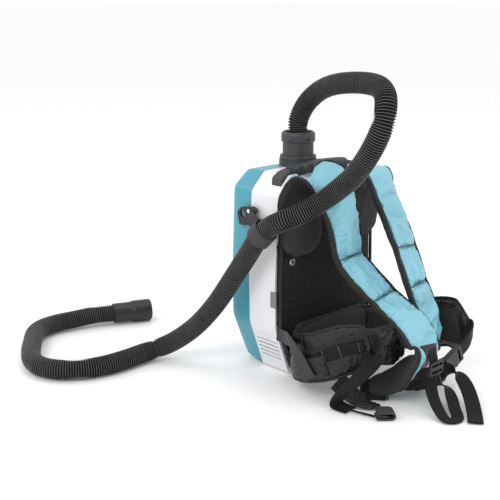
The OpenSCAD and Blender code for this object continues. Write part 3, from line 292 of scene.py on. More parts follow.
class Surface:
    """A node material built up step by step."""

    def __init__(self, name):
        self.m = bpy.data.materials.new(name)
        self.m.use_nodes = True
        self.t = self.m.node_tree
        self.b = self.t.nodes["Principled BSDF"]
        self.normal = None

    def feed(self, socket, value):
        """Link another node's output to an input, or set it to a number, a vector or a colour."""
        if isinstance(value, bpy.types.NodeSocket):
            self.t.links.new(value, socket)
        else:
            socket.default_value = (*value, 1) if socket.type == "RGBA" else value

    def node(self, kind, inputs=(), **settings):
        n = self.t.nodes.new("ShaderNode" + kind)
        for k, v in settings.items():
            setattr(n, k, v)
        for k, v in dict(inputs).items():
            self.feed(n.inputs[k], v)
        return n

    def put(self, name, value):
        self.feed(self.b.inputs[name], value)

    def base(self, colour):
        self.put("Base Color", colour)

    def math(self, op, a, b=0.0, clamp=False):
        return self.node("Math", {0: a, 1: b}, operation=op, use_clamp=clamp).outputs[0]

    def times(self, a, b):
        return self.math("MULTIPLY", a, b)

    def sine(self, value, length):
        """Sine wave over a coordinate, one turn each length."""
        return self.math("SINE", self.times(value, 2 * math.pi / length))

    def unit(self, value):
        """-1 to 1 as 0 to 1."""
        return self.math("ADD", self.times(value, 0.5), 0.5)

    def uv(self):
        """Metres along and metres round or across a piece."""
        parts = self.node("SeparateXYZ", {0: self.node("TexCoord").outputs["UV"]}).outputs
        return parts[0], parts[1]

    def noise(self, scale, detail=3, rough=0.5, stretch=None):
        c = self.node("TexCoord").outputs["Object"]
        if stretch:
            c = self.node("Mapping", {"Vector": c, "Scale": stretch}).outputs[0]
        ins = {"Vector": c, "Scale": scale, "Detail": detail, "Roughness": rough}
        return self.node("TexNoise", ins).outputs["Fac"]

    def ramp(self, value, *stops):
        """Grey value by straight steps between stops of position and value."""
        n = self.node("ValToRGB", {"Fac": value})
        e = n.color_ramp.elements
        while len(e) < len(stops):
            e.new(0.5)
        for item, (place, grey) in zip(e, stops):
            item.position = place
            item.color = (grey, grey, grey, 1)
        return n.outputs[0]

    def mix(self, factor, a, b):
        return self.node("Mix", {0: factor, 6: a, 7: b}, data_type="RGBA").outputs[2]

    def mottled(self, value, colour, low, high):
        """Colour between a darker and a paler tone of itself."""
        return self.mix(value, tone(colour, low), tone(colour, high))

    def span(self, value, low, high):
        return self.node("MapRange", {"Value": value, "To Min": low, "To Max": high}).outputs[0]

    def shade_by(self, normal):
        self.normal = normal
        self.put("Normal", normal)

    def bump(self, height, distance, strength):
        ins = {"Height": height, "Distance": distance, "Strength": strength}
        if self.normal is not None:
            ins["Normal"] = self.normal
        self.shade_by(self.node("Bump", ins).outputs[0])

    def bevel(self, radius):
        return self.node("Bevel", {"Radius": radius}, samples=4).outputs[0]

    def painted_crevice_shade(self, colour, reach, dark):
        """Colour drawn towards a darker one where the surface closes on itself: painted shade in creases and
        seams, from ambient occlusion.
        """
        open_sky = self.node("AmbientOcclusion", {"Distance": reach}, samples=6).outputs["AO"]
        return self.mix(self.math("POWER", open_sky, 1.5), dark, colour)

    def worn(self, radius):
        """0 on flats, towards 1 on edges."""
        ins = {0: self.bevel(radius), 1: self.node("NewGeometry").outputs["Normal"]}
        d = self.node("VectorMath", ins, operation="DOT_PRODUCT").outputs["Value"]
        return self.math("SUBTRACT", 1.0, d, clamp=True)


def lin(*rgb):
    """8-bit screen colour as a linear one."""
    return tuple(c / 12.92 if c <= 0.04045 else ((c + 0.055) / 1.055) ** 2.4
                 for c in (v / 255 for v in rgb))


def tone(colour, gain, lift=0.0):
    return tuple(min(1, c * gain + lift) for c in colour)


def plastic(name, colour, rough, grain=0.00004, grain_scale=1400, wear=0.12, spread=0.05):
    """Moulded plastic: flecks and smears, paler rubbed edges, and a fine grain over a slow waviness."""
    s = Surface(name)
    s.shade_by(s.bevel(PLASTIC_EDGE))
    col = s.mottled(s.noise(9, 3, 0.55), colour, 1 - spread, 1 + spread)
    fleck = s.ramp(s.noise(420, 2, 0.6), (0.52, 0.0), (0.7, 1.0))
    col = s.mix(s.times(fleck, 0.05), col, tone(colour, 0.75))
    rim = s.math("MULTIPLY", s.worn(PLASTIC_EDGE * 1.4), wear * 6, clamp=True)
    patch = s.ramp(s.noise(60, 4, 0.65), (0.42, 0.0), (0.62, 1.0))
    s.base(s.mix(s.times(rim, patch), col, tone(colour, 1.25, 0.06)))
    smear = s.noise(26, 4, 0.6, stretch=(1, 1, 0.35))
    s.put("Roughness", s.span(smear, rough - 0.06, rough + 0.1))
    s.bump(s.noise(grain_scale, 2, 0.5), grain, 0.6)
    s.bump(s.noise(14, 2, 0.5), 0.00025, 0.25)
    return s.m


def metal(name, colour):
    """Drawn metal, brushed along Z."""
    s = Surface(name)
    s.shade_by(s.bevel(METAL_EDGE))
    s.put("Metallic", 1.0)
    s.base(s.mottled(s.noise(120, 3, 0.6), colour, 0.82, 1))
    s.put("Roughness", s.span(s.noise(900, 2, 0.5, stretch=(1, 1, 0.1)), 0.18, 0.43))
    s.bump(s.noise(2600, 2, 0.5, stretch=(1, 1, 0.08)), 0.00002, 0.5)
    return s.m


def foamy(name, colour, scale=900, depth=0.0004):
    """Open cells with dark middles."""
    s = Surface(name)
    ins = {"Vector": s.node("TexCoord").outputs["Object"], "Scale": scale}
    cells = s.node("TexVoronoi", ins).outputs["Distance"]
    s.base(s.mottled(s.ramp(cells, (0.15, 0.0), (0.6, 1.0)), colour, 0.6, 1))
    s.put("Roughness", 0.9)
    s.bump(cells, depth, 0.7)
    return s.m


def cloth(name, colour, pitch, sheen, rough=0.6, shine=0.5, spread=0.08, weave_depth=0.00012, crease=0.0012,
          crinkle=0.0, fleck=0.06, lint_scale=700, painted_crevice_shade=0.0):
    """Plain-woven cloth, its pitch in millimetres, with lint, soft creases and, if asked, sharp crinkles and
    painted shade in its creases and seams.
    """
    s = Surface(name)
    u, v = s.uv()
    weave = s.unit(s.times(s.sine(u, pitch * MM), s.sine(v, pitch * MM)))
    wide = s.noise(11, 4, 0.6)
    col = s.mottled(wide, colour, 1 - spread, 1 + spread)
    col = s.mix(s.times(s.math("SUBTRACT", 1.0, weave), 0.22), col, tone(colour, 0.55))
    lint = s.ramp(s.noise(lint_scale, 2, 0.7), (0.5, 0.0), (0.72, 1.0))
    col = s.mix(s.times(lint, fleck), col, tone(colour, 1.5, 0.05))
    # if asked, painted shade: the colour darkened by ambient occlusion in creases and seams
    s.base(s.painted_crevice_shade(col, painted_crevice_shade, tone(colour, 0.32)) if painted_crevice_shade else col)
    s.put("Roughness", s.span(wide, rough - 0.08, rough + 0.08))
    s.put("Specular IOR Level", shine)
    s.put("Sheen Weight", sheen)
    s.put("Sheen Roughness", 0.4)
    s.bump(weave, weave_depth, 0.5)
    s.bump(s.noise(45, 4, 0.62), crease, 0.35)
    if crinkle:
        # thin sharp creases: the ridges where two noises cross their middle value
        for scale, stretch in ((38, (1, 1.7, 0.8)), (75, (1.6, 0.8, 1.2))):
            n = s.math("SUBTRACT", s.noise(scale, 2, 0.5, stretch=stretch), 0.5)
            s.bump(s.ramp(s.math("ABSOLUTE", n), (0.0, 1.0), (0.075, 0.0)), crinkle, 0.4)
    return s.m


def webbed(name, colour):
    """Webbing: a slanting twill over fine ribs across."""
    s = Surface(name)
    u, v = s.uv()
    turn = 2 * math.pi
    slant = s.math("ADD", s.times(u, turn / TWILL_ALONG), s.times(v, turn / TWILL_ACROSS))
    twill = s.unit(s.math("SINE", slant))
    col = s.mottled(s.noise(25, 3, 0.6), colour, 0.85, 1.2)
    s.base(s.mix(s.times(twill, 0.35), col, tone(colour, 1.9)))
    s.put("Roughness", 0.62)
    s.put("Specular IOR Level", 0.18)
    s.put("Sheen Weight", 0.04)
    s.bump(twill, 0.00025, 0.7)
    s.bump(s.unit(s.sine(u, PICKS)), 0.0001, 0.5)
    return s.m


def spacer_mesh(name, colour):
    """Honeycomb spacer mesh: rows of small holes, every other row half a step along."""
    s = Surface(name)
    u, v = s.uv()

    def from_hole(shift):
        """Distance from the nearest hole of one set of rows, in steps."""
        a = s.math("ADD", s.times(u, 1 / MESH_PITCH), shift)
        b = s.math("ADD", s.times(v, 1 / MESH_PITCH / ROOT_3), shift)
        da = s.math("SUBTRACT", s.math("FRACT", a), 0.5)
        db = s.times(s.math("SUBTRACT", s.math("FRACT", b), 0.5), ROOT_3)
        return s.math("SQRT", s.math("ADD", s.times(da, da), s.times(db, db)))

    rim = s.ramp(s.math("MINIMUM", from_hole(0.0), from_hole(0.5)), (0.2, 0.0), (0.36, 1.0))
    s.base(s.mix(rim, tone(colour, 0.08), s.mottled(s.noise(13, 3, 0.6), colour, 0.8, 1.3)))
    s.put("Roughness", 0.7)
    s.put("Specular IOR Level", 0.3)
    s.put("Sheen Weight", 0.05)
    s.put("Sheen Roughness", 0.5)
    s.bump(rim, 0.0006, 0.8)
    s.bump(s.noise(60, 3, 0.6), 0.0006, 0.3)
    return s.m


def hose_surface(name):
    """Black hose: paler crests, a painted highlight broken up by noise, over dark grooves, told apart by the
    length along the hose.
    """
    s = Surface(name)
    turn = s.math("FRACT", s.math("DIVIDE", s.uv()[0], RIB_STEP * MM))
    crest = s.ramp(turn, (0.46, 0.0), (0.56, 1.0), (0.64, 1.0), (0.76, 0.0))
    # painted highlight: the rib crests' colour is paled, patchily, to stand for light caught on them
    painted_crest_highlight = s.times(crest, s.span(s.noise(55, 3, 0.6), 0.2, 1.1))
    black = s.mix(s.noise(30, 3, 0.6), (0.004, 0.004, 0.004), (0.009, 0.009, 0.009))
    s.base(s.mix(painted_crest_highlight, black, (0.17, 0.17, 0.175)))
    s.put("Roughness", s.math("SUBTRACT", s.span(s.noise(140, 3, 0.6), 0.72, 0.86), s.times(crest, 0.56)))
    s.put("Specular IOR Level", 0.22)
    s.bump(s.noise(900, 2, 0.5), 0.00003, 0.4)
    return s.m


def circuit(name):
    """Green board with paler tracks."""
    s = Surface(name)
    s.base(s.node("TexBrick", {
        "Vector": s.node("TexCoord").outputs["Object"], "Scale": 90.0, "Mortar Size": 0.03,
        "Color1": (0.02, 0.12, 0.06), "Color2": (0.03, 0.16, 0.08), "Mortar": (0.1, 0.3, 0.15)}).outputs[0])
    s.put("Roughness", 0.35)
    s.bump(s.noise(300, 2), 0.0002, 0.5)
    return s.m


LOOKS = {
    "white_shell": plastic("white_shell_look", (0.72, 0.73, 0.75), rough=0.3, wear=0.05, spread=0.015),
    "teal_shell": plastic("teal_shell_look", lin(64, 146, 164), rough=0.32, wear=0.06, spread=0.04),
    "dark_plastic": plastic("dark_plastic_look", lin(50, 52, 55), rough=0.5, grain=0.00012, grain_scale=900),
    "grey_plastic": plastic("grey_plastic_look", lin(120, 121, 124), rough=0.5, grain=0.0001,
                            grain_scale=900),
    "black_plastic": plastic("black_plastic_look", lin(22, 22, 24), rough=0.36),
    "hose_plastic": hose_surface("hose_black"),
    "steel": metal("steel_look", (0.72, 0.72, 0.74)),
    "brass": metal("brass_look", (0.8, 0.62, 0.3)),
    "rubber": plastic("rubber_look", lin(34, 34, 35), rough=0.72, grain=0.0001),
    "bag_fleece": cloth("fleece_look", (0.78, 0.74, 0.65), pitch=1.6, rough=0.9, sheen=0.5),
    "card": foamy("card_look", (0.55, 0.38, 0.2), scale=500, depth=0.0001),
    "filter_media": foamy("foam_look", (0.4, 0.4, 0.39)),
    "board_green": circuit("circuit"),
    "red_plastic": plastic("red_plastic_look", lin(180, 52, 44), rough=0.4),
    # the blue nylon gets painted shade in its creases and seams
    "blue_fabric": cloth("blue_nylon", lin(123, 187, 204), pitch=0.6, rough=0.36, sheen=0.04,
                         crinkle=0.0005, shine=0.75, painted_crevice_shade=0.022),
    "black_mesh": spacer_mesh("mesh_look", lin(50, 50, 52)),
    "black_fabric": cloth("black_nylon", lin(15, 15, 17), pitch=0.9, rough=0.36, sheen=0.02,
                          crease=0.0018, spread=0.3, crinkle=0.0015, shine=0.42),
    "webbing": webbed("webbing_look", lin(15, 15, 17)),
    "dark_webbing": webbed("dark_webbing_look", lin(54, 54, 57)),
}
BINDING = cloth("binding_look", lin(27, 26, 28), pitch=0.9, sheen=0.04, crease=0.0008, spread=0.25,
                shine=0.35)
THREAD = cloth("thread_look", lin(70, 70, 72), pitch=0.6, sheen=0.2, crease=0.0001)
# seam thread in a dark blue that is partly the thread's colour and partly painted shade in the seam valleys
SEAM_THREAD_AND_SHADE = cloth("seam_thread_and_shade_look", lin(38, 84, 98), pitch=0.6, sheen=0.05, crease=0.0001, shine=0.2)
BOARD_CLOTH = cloth("board_cloth", lin(25, 25, 27), pitch=2.2, rough=0.8, sheen=0.05, crease=0.0009,
                    spread=0.5, weave_depth=0.0003, shine=0.25, fleck=0.4, lint_scale=270)


def wear(o, look):
    o.data.materials.clear()
    o.data.materials.append(look)


def dress(o, slot, look=None, node=None):
    """Give a piece the look of its slot, or the look given, and hide the node that it stands for."""
    wear(o, look or LOOKS[slot])
    if node:
        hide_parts(node)
    return o


slots = {s["node"]: s["material_slot"] for s in frame["record"]["subparts"]}
for name, o in NODES.items():
    wear(o, LOOKS[slots[name]])
wear(hose, LOOKS["hose_plastic"])


# ---- soft goods: tools ------------

# upper half of a webbing's section: flat face, rounded selvedges
BAND_TOP = [(-1, 0), (-0.97, 0.42)] + [(x, 0.5) for x in (-0.86, -0.43, 0, 0.43, 0.86)] + [(0.97, 0.42)]
BAND_OUTLINE = BAND_TOP + [(-x, -y) for x, y in BAND_TOP]
BAND_LOWEST = 0.15
BAND_STEP = 2.5
TUBE_SIDES = 10
STITCH_LENGTH, STITCH_GAP, THREAD_RADIUS = 2.6, 1.5, 0.32
STITCH_RISE = (0.05, 0.8, 1.0, 0.8, 0.05)  # height along a stitch, in thread radii
STITCH_SIDES = 6
RIM_STEP = 5
CLOTH = dict(quality=6, mass=0.12, tension_stiffness=12, compression_stiffness=12, shear_stiffness=6,
             bending_stiffness=0.08, air_damping=4, use_pressure=True)


def flat_strap(name, route, side, width, node, seed, thick=2.2, slot="webbing", sag=0.25):
    """Flat webbing: a slightly uneven woven band with rounded selvedges."""
    r = Route(route, side, BAND_STEP)
    half = width / 2
    rings = []
    for i, s in enumerate(r.run):
        tilt = n3(s / 38, seed, 0.3) * 0.5
        ring = []
        for x, y in BAND_OUTLINE:
            cup = sag * (x * x - 0.33) * (1 + n3(s / 25, seed, 2.0)) + tilt * x
            q = r.lay(i, x * half, y * thick + cup)
            q.z = max(q.z, BAND_LOWEST)
            ring.append(q)
        rings.append(ring)
    return dress(lofted(name, rings, r.run), slot, node=node)


def tube(name, points, radius, look=BINDING, slot="black_fabric", up=(0, 0, 1), wobble=0.0, seed=0,
         looped=False):
    """Round bar or rolled edge along points, closing on itself if it is looped."""
    pts, up = [Vector(p) for p in points], Vector(up)
    before, after = (pts[-1:], pts[:1]) if looped else (pts[:1], pts[-1:])
    runs = lengths(pts)
    rings = []
    for a, p, b, s in zip(before + pts, pts, pts[1:] + after, runs):
        d = (b - a).normalized()
        u = up - up.dot(d) * d
        u = u.normalized() if u.length > 1e-4 else d.orthogonal().normalized()
        rings.append(circle(p, u, d.cross(u), radius * (1 + wobble * n3(s / 6, seed, 1.0)), TUBE_SIDES))
    if looped:
        runs.append(runs[-1] + (pts[0] - pts[-1]).length)
    return dress(lofted(name, rings, runs, looped), slot, look)


def stitches(name, points, out):
    """A line of thread stitches, each a small bar that dips into the cloth at its ends."""
    run = lengths(points)

    def here(s):
        j = next(k for k in range(len(run) - 1) if run[k + 1] >= s)
        f = (s - run[j]) / (run[j + 1] - run[j])
        return points[j].lerp(points[j + 1], f), (points[j + 1] - points[j]).normalized()

    m, parts = STITCH_SIDES, len(STITCH_RISE) - 1
    verts, faces = [], []
    s = STITCH_GAP
    while s + STITCH_LENGTH < run[-1]:
        base = len(verts)
        for k, rise in enumerate(STITCH_RISE):
            p, d = here(s + STITCH_LENGTH * k / parts)
            up = (out - out.dot(d) * d).normalized()
            for a in range(m):
                q = 2 * math.pi * a / m
                lift = THREAD_RADIUS * (rise + math.sin(q) * 0.7)
                verts.append(p + up * lift + d.cross(up) * math.cos(q) * THREAD_RADIUS)
        for k in range(base, base + parts * m, m):
            faces += [(k + a, k + (a + 1) % m, k + m + (a + 1) % m, k + m + a) for a in range(m)]
        faces.append(tuple(base + a for a in range(m - 1, -1, -1)))
        faces.append(tuple(base + parts * m + a for a in range(m)))
        s += STITCH_LENGTH + STITCH_GAP
    return dress(mesh(name, verts, faces), "webbing", THREAD)


def bake(o):
    """Keep what the object's modifiers make as its mesh."""
    graph = bpy.context.evaluated_depsgraph_get()
    old, o.data = o.data, bpy.data.meshes.new_from_object(o.evaluated_get(graph))
    o.modifiers.clear()
    o.data.name = o.name
    bpy.data.meshes.remove(old)
    return o.data


def inflate(o, held, pressure, grow, cap, frames=14):
    """Blow a closed cloth skin up between the points that are held, no point by more than the cap."""
    start = [v.co.copy() for v in o.data.vertices]
    o.vertex_groups.new(name="held").add(held, 1.0, "REPLACE")
    m = o.modifiers.new("cloth", "CLOTH")
    settings = dict(CLOTH, uniform_pressure_force=pressure, shrink_min=-grow, vertex_group_mass="held")
    for k, v in settings.items():
        setattr(m.settings, k, v)
    m.settings.effector_weights.gravity = 0
    m.collision_settings.use_collision = False
    m.point_cache.frame_start, m.point_cache.frame_end = 1, frames
    for f in range(1, frames + 1):
        SCENE.frame_set(f)
    for v, a in zip(bake(o).vertices, start):
        d = v.co - a
        if d.length > cap * MM:
            v.co = a + d * (cap * MM / d.length)
    o.vertex_groups.clear()
    SCENE.frame_set(1)


def finer(o):
    """One level of smooth subdivision, kept in the mesh."""
    sub = o.modifiers.new("finer", "SUBSURF")
    sub.levels = sub.render_levels = 1
    smooth_shaded(bake(o))


def box_uv(data):
    """UV map in metres, each face seen along its main axis."""
    layer = data.uv_layers.new(name="UVMap")
    for p in data.polygons:
        n = [abs(c) for c in p.normal]
        a, b = ((1, 2), (0, 2), (0, 1))[n.index(max(n))]
        for i in p.loop_indices:
            co = data.vertices[data.loops[i].vertex_index].co
            layer.data[i].uv = (co[a], co[b])


def softened(node, name, voxel, rounds, ripple, seed, look=None, grain=18, blow=0.0, cap=2.5):
    """A soft form from a frame solid: edges rounded over, blown up as cloth, faces a little uneven."""
    src = NODES[node]
    o = bpy.data.objects.new(name, src.data.copy())
    SCENE.collection.objects.link(o)
    o.data.materials.clear()
    remesh = o.modifiers.new("remesh", "REMESH")
    remesh.mode = "VOXEL"
    remesh.voxel_size = voxel * MM
    smooth = o.modifiers.new("smooth", "SMOOTH")
    smooth.factor, smooth.iterations = 0.5, rounds
    bpy.context.view_layer.update()
    bake(o)
    if blow:
        inflate(o, [], pressure=blow, grow=0.05, cap=cap, frames=12)
        finer(o)
    for v, n in zip(o.data.vertices, [x.normal.copy() for x in o.data.vertices]):
        p = v.co / MM / grain
        h = n3(*p, seed) + 0.4 * n3(*(p * 2.3), seed + 3)
        v.co += n * (h - 0.15) * ripple * MM
    smooth_shaded(o.data)
    box_uv(o.data)
    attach(o, body_of(src)[0])
    return dress(o, slots[node], look, node)


def outline(node, y_from, y_to, shrink):
    """Rim of a flat node seen from the front, from its points between two depths, drawn in by shrink."""
    points = [v.co / MM for v in NODES[node].data.vertices]
    flat = [Vector((p.x, p.z)) for p in points if y_from <= p.y <= y_to]
    hull = [flat[i] for i in geometry.convex_hull_2d(flat)]
    centre = sum(hull, Vector((0, 0))) / len(hull)
    rim = [centre + (p - centre) * (1 - shrink / (p - centre).length) for p in hull]
    rim.append(rim[0])
    run = lengths(rim)
    steps = round(run[-1] / RIM_STEP)
    even = []
    j = 0
    for i in range(steps):
        s = run[-1] * i / steps
        while run[j + 1] < s:
            j += 1
        even.append(rim[j].lerp(rim[j + 1], (s - run[j]) / max(run[j + 1] - run[j], 1e-6)))
    return even


def on_pad(name, band, along, across, y, rise, slot, seed, face=1, node=None):
    """Patch sewn on a band, between two route points and two shares of its half width, proud of height y."""
    r, w = band
    first, last = (r.step_at(t) for t in along)
    x0, x1 = across
    rings = []
    for i in range(first, last + 1):
        share = min(i - first, last - i) / max(1.0, (last - first) / 2)
        hump = min(1.0, 0.25 + share * 2.2)
        ring = []
        for q in spaced(12):
            x = x0 + (x1 - x0) * (q + 1) / 2
            h = y(x) + rise * hump * (1 - abs(q) ** 6) ** 0.5 + n3(r.run[i] / 9, x * 5, seed) * 0.35
            ring.append(r.lay(i, x * w[i], face * h))
        ring += [r.lay(i, x * w[i], face * (y(x) - 0.6)) for x in (x1, (x0 + x1) / 2, x0)]
        rings.append(ring if face < 0 else ring[::-1])
    return dress(lofted(name, rings, r.run[first:last + 1]), slot, node=node)


def crumpled(name, route, side, half, thick, depth, seed):
    """Loose nylon band, creased all over."""
    r = Route(route, side, BAND_STEP)
    w = r.values(half)
    rings = []
    for i, s in enumerate(r.run):
        top, low = [], []
        for x in spaced(30):
            a, b = s / 15, x * w[i] / 13
            crease = n3(a, b, 0.0, seed) + 0.6 * abs(n3(a * 2.1, b * 2.1, 1.0, seed))
            y = (crease + 0.3 * n3(a * 4.5, b * 4.5, 2.0, seed)) * depth
            for row, rise in ((top, thick / 2), (low, -thick / 2)):
                q = r.lay(i, x * w[i] * (1 + 0.06 * n3(s / 9, x, 3.0, seed)), y + rise * (1 - abs(x) ** 6))
                q.z = max(q.z, 0.3)
                row.append(q)
        rings.append(top + low[::-1])
    return dress(lofted(name, rings, r.run), "black_fabric")


# ---- shoulder straps ------------

STRAP_HALF = 35.0
STRAP_STEP = 2.6
STRAP_END = 16.0  # length over which a cover's ends round off
COVER_HEIGHT = 8.4
COVER_BACK = -0.4
COVER_COLUMNS = 26
# reach of a cross seam's held line, of its dip and of the drawn-in sides
SEAM_LINE, SEAM_PINCH, SEAM_WAIST = 1.4, 5.6, 9.0
LINING_FRONT, LINING_BACK, LINING_THICK = -1.2, -2.2, 11.5
LINING_PROUD = 2.0
SEAM_BULGE = 1.5
BINDING_RADIUS, SEAM_RADIUS = 2.9, 0.75
TIE_CROWN = 8.6
STRAPS = dict(
    left=dict(
        seams=(8, 10), seed=1.0,
        route=[(-80, -78, 222), (-80.5, -78, 250), (-83, -78.2, 285), (-86, -81, 318), (-71, -95, 346),
               (-57, -118, 342), (-46, -130, 310), (-37, -138, 268), (-33, -147, 224), (-31, -170, 200),
               (-23, -210, 168), (-18, -244, 145), (-13, -272, 122), (-14, -290, 94), (-29, -284, 70),
               (-33, -262, 44), (-43, -236, 26), (-55, -214, 19)],
        side=[(1, 0, 0)] * 3 + [(0.95, -0.2, 0.3), (0.86, -0.32, 0.48), (0.93, -0.25, 0.3), (1, -0.08, 0.04)]
             + [(1, 0, 0)] * 6 + [(1, 0.1, 0), (0.85, 0.45, 0.15), (0.5, 0.8, 0.25), (0.3, 0.9, 0.3),
                                  (0.2, 0.9, 0.3)],
        widths=[0.8, 1.2, 1.24, 1.28, 1.28, 1.2, 1.06, 1, 1, 1, 1, 1.02, 1.05, 1.05, 0.86, 0.66, 0.54, 0.46],
        swells=[0.45, 1, 1, 1, 0.9, 1, 1, 1, 0.8, 1, 0.8, 1, 1, 0.9, 0.8, 0.8, 0.8, 0.4],
        under=[0.8, 0.8, 0.8, 0.7, 0.55, 0.7] + [1] * 10 + [0.8, 0.8]),
    right=dict(
        seams=(8, 9), seed=4.0,
        route=[(75, -77.6, 230), (75, -77.6, 256), (75, -77.6, 290), (74, -80, 320), (68, -98, 345),
               (61, -123, 341), (55, -147, 311), (50, -174, 274), (46, -199, 236), (46, -227, 176),
               (56, -240, 133), (56, -251, 99), (51, -257, 79.5)],
        side=[(1, 0, 0)] * 4 + [(0.99, 0.1, 0)] + [(0.98, 0.2, 0)] * 8,
        widths=[0.6, 0.95, 1, 1, 1, 0.97, 0.94, 0.94, 0.94, 0.94, 0.94, 0.92, 0.8],
        swells=[0.45, 1, 1, 1, 0.9, 1, 1, 1, 0.8, 1, 0.8, 1, 0.5],
        under=[0.8, 0.8, 0.8, 0.7, 0.55, 0.7] + [1] * 7))


def quilted(name, form, node):
    """Padded strap cover: a nylon skin held along its edges and cross seams and blown up between them."""
    r = Route(form["route"], form["side"], STRAP_STEP)
    w = [STRAP_HALF * v for v in r.values(form["widths"])]
    fat = r.values(form["swells"])
    seed = form["seed"]
    marks = [r.run[r.step_at(t)] for t in form["seams"]]
    rings, held = [], []
    for i, s in enumerate(r.run):
        near = min(abs(s - m) for m in marks)
        end = min(s, r.length - s)
        w[i] *= (1 - 0.72 * (1 - min(end, STRAP_END) / STRAP_END) ** 2) ** 0.5
        w[i] *= 1 - 0.055 * bell(near, SEAM_WAIST)
        pinch = 1 - 0.9 * bell(near, SEAM_PINCH) - 0.1 * math.exp(-near / 14)
        pinch *= 1 - 0.55 * bell(end, 9)
        narrow = 0.9 - 0.04 * bell(near, SEAM_WAIST)
        ring = []
        for c in spaced(COVER_COLUMNS):
            x = math.sin(math.pi / 2 * c) * 0.35 + c * 0.65
            dome = max(0.0, 1 - abs(x) ** 3.0) ** 0.5
            edge = (1 - abs(x)) * w[i]
            pucker = n3(x * w[i] / 4.2, s / 40, 0.0, seed) * 3.0 * math.exp(-near / 9) * dome
            gather = n3(s / 5.0, x, 4.0, seed + 2) * 3.0 * math.exp(-edge / 6) * min(1, edge / 2.0)
            wave = n3(x * 1.2, s / 38, 2.0, seed + 5) * 1.2 * dome
            height = COVER_HEIGHT * fat[i] * pinch * dome + (pucker + wave + gather) * min(1, 0.3 + pinch)
            ring.append(r.lay(i, x * w[i] * narrow, max(height, 0.3 * dome)))
        back = [r.lay(i, x * w[i] * narrow, COVER_BACK) for x in (1, 0.5, 0, -0.5, -1)]
        base = len(rings) * (len(ring) + len(back))
        rings.append((ring + back)[::-1])
        if near < SEAM_LINE or i < 1 or i > len(r.p) - 2:
            held += range(base, base + len(rings[-1]))
        else:
            held += [*range(base, base + len(back) + 1), base + len(back) + COVER_COLUMNS]
    o = lofted(name, rings, r.run)
    inflate(o, held, pressure=2.6, grow=0.1, cap=4.2)
    finer(o)
    dress(o, "blue_fabric", node=node)
    return r, w


def lining(name, form, r, w, node):
    """Spacer mesh under a strap, full and rounded at its edges."""
    deep = r.values(form["under"])
    seed = form["seed"]
    rings = []
    for i, s in enumerate(r.run):
        full = LINING_THICK * deep[i] * (1 - 0.3 * bell(min(s, r.length - s), 8)) + LINING_BACK
        half = w[i] + LINING_PROUD
        ring = []
        for x in spaced(24):
            ripple = n3(s / 20, x * 1.5, 1.0, seed) * 0.9 + n3(s / 7, x * 4, 1.0, seed) * 0.7
            y = LINING_BACK - full * (1 - abs(x) ** 10) ** 0.5 + ripple
            ring.append(r.lay(i, x * half, min(y, LINING_BACK - 0.1)))
        ring += [r.lay(i, x * half, LINING_FRONT) for x in (0.94, 0.47, 0, -0.47, -0.94)]
        rings.append(ring)
    return dress(lofted(name, rings, r.run), "black_mesh", node=node)


def shoulder_strap(name, form):
    """Cover, lining, rolled bindings and seam threads of a strap, the threads dark enough to stand also for
    painted shade in the seam valleys; gives its route and half widths.
    """
    r, w = quilted("strap_cover_" + name, form, "strap_" + name)
    lining("strap_mesh_" + name, form, r, w, "strap_lining_" + name)
    for sign, word in ((-1, "a"), (1, "b")):
        edge = [r.lay(i, sign * w[i], -1.0) for i in range(len(w))]
        tube(f"strap_binding_{name}_{word}", edge, BINDING_RADIUS, wobble=0.12, seed=form["seed"] + sign)
    # dark thread tubes along the cross seams: thread, and painted shade in the seam valleys
    for k, t in enumerate(form["seams"]):
        i = r.step_at(t)
        seam = [r.lay(i, x * w[i] * 0.85, SEAM_BULGE * (1 - x * x) + 0.5) for x in spaced(16)]
        tube(f"quilt_seam_{name}_{k}", seam, SEAM_RADIUS, SEAM_THREAD_AND_SHADE, "blue_fabric", up=r.ahead[i],
             wobble=0.5, seed=k)
    return r, w


STRAP = {name: shoulder_strap(name, form) for name, form in STRAPS.items()}


def tie():
    """Patch that ties the straps' low ends, with its rows of stitches."""
    r, w = STRAP["left"]

    def crown(x):
        """Height of the strap's cover at x half widths."""
        return TIE_CROWN * (1 - 0.5 * x * x)

    on_pad("strap_tie_patch", (r, w), (12.75, 13.5), (-0.6, 0.62), crown, 3.4, "black_fabric", 3,
           node="strap_joiner")
    for k, t in enumerate((12.92, 13.08, 13.24, 13.38)):
        i = r.step_at(t)
        row = [r.lay(i, x * w[i], crown(x) + 3.2) for x in (-0.55, -0.3, 0, 0.3, 0.57)]
        stitches(f"tie_stitch_{k}", row, r.out[i])


tie()


# ---- back board, hip wings and soft parts inside ------------

softened("back_board", "back_board_cover", voxel=3, rounds=3, ripple=0.5, seed=2, look=BOARD_CLOTH)
softened("lumbar_pad", "lumbar_pad_cover", voxel=4.5, rounds=3, ripple=0.9, seed=3, blow=2.5)
softened("dust_bag", "dust_bag_paper", voxel=5, rounds=3, ripple=1.5, seed=7, grain=30, blow=2.0,
         cap=3.0)


def piping(name, node, depths, shrink, depth, radius):
    """Rolled edge round a board or pad; its depths are taken from the face towards the wearer."""
    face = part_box(node)[0][1] / MM
    rim = outline(node, face + depths[0], face + depths[1], shrink)
    tube(name, [(x, face + depth, z) for x, z in rim], radius, up=(0, 1, 0), looped=True)


piping("board_binding", "back_board", (-1, 6), -4.2, 2.6, 2.8)
piping("lumbar_piping", "lumbar_pad", (7, 9.5), 0.6, 7.5, 1.8)

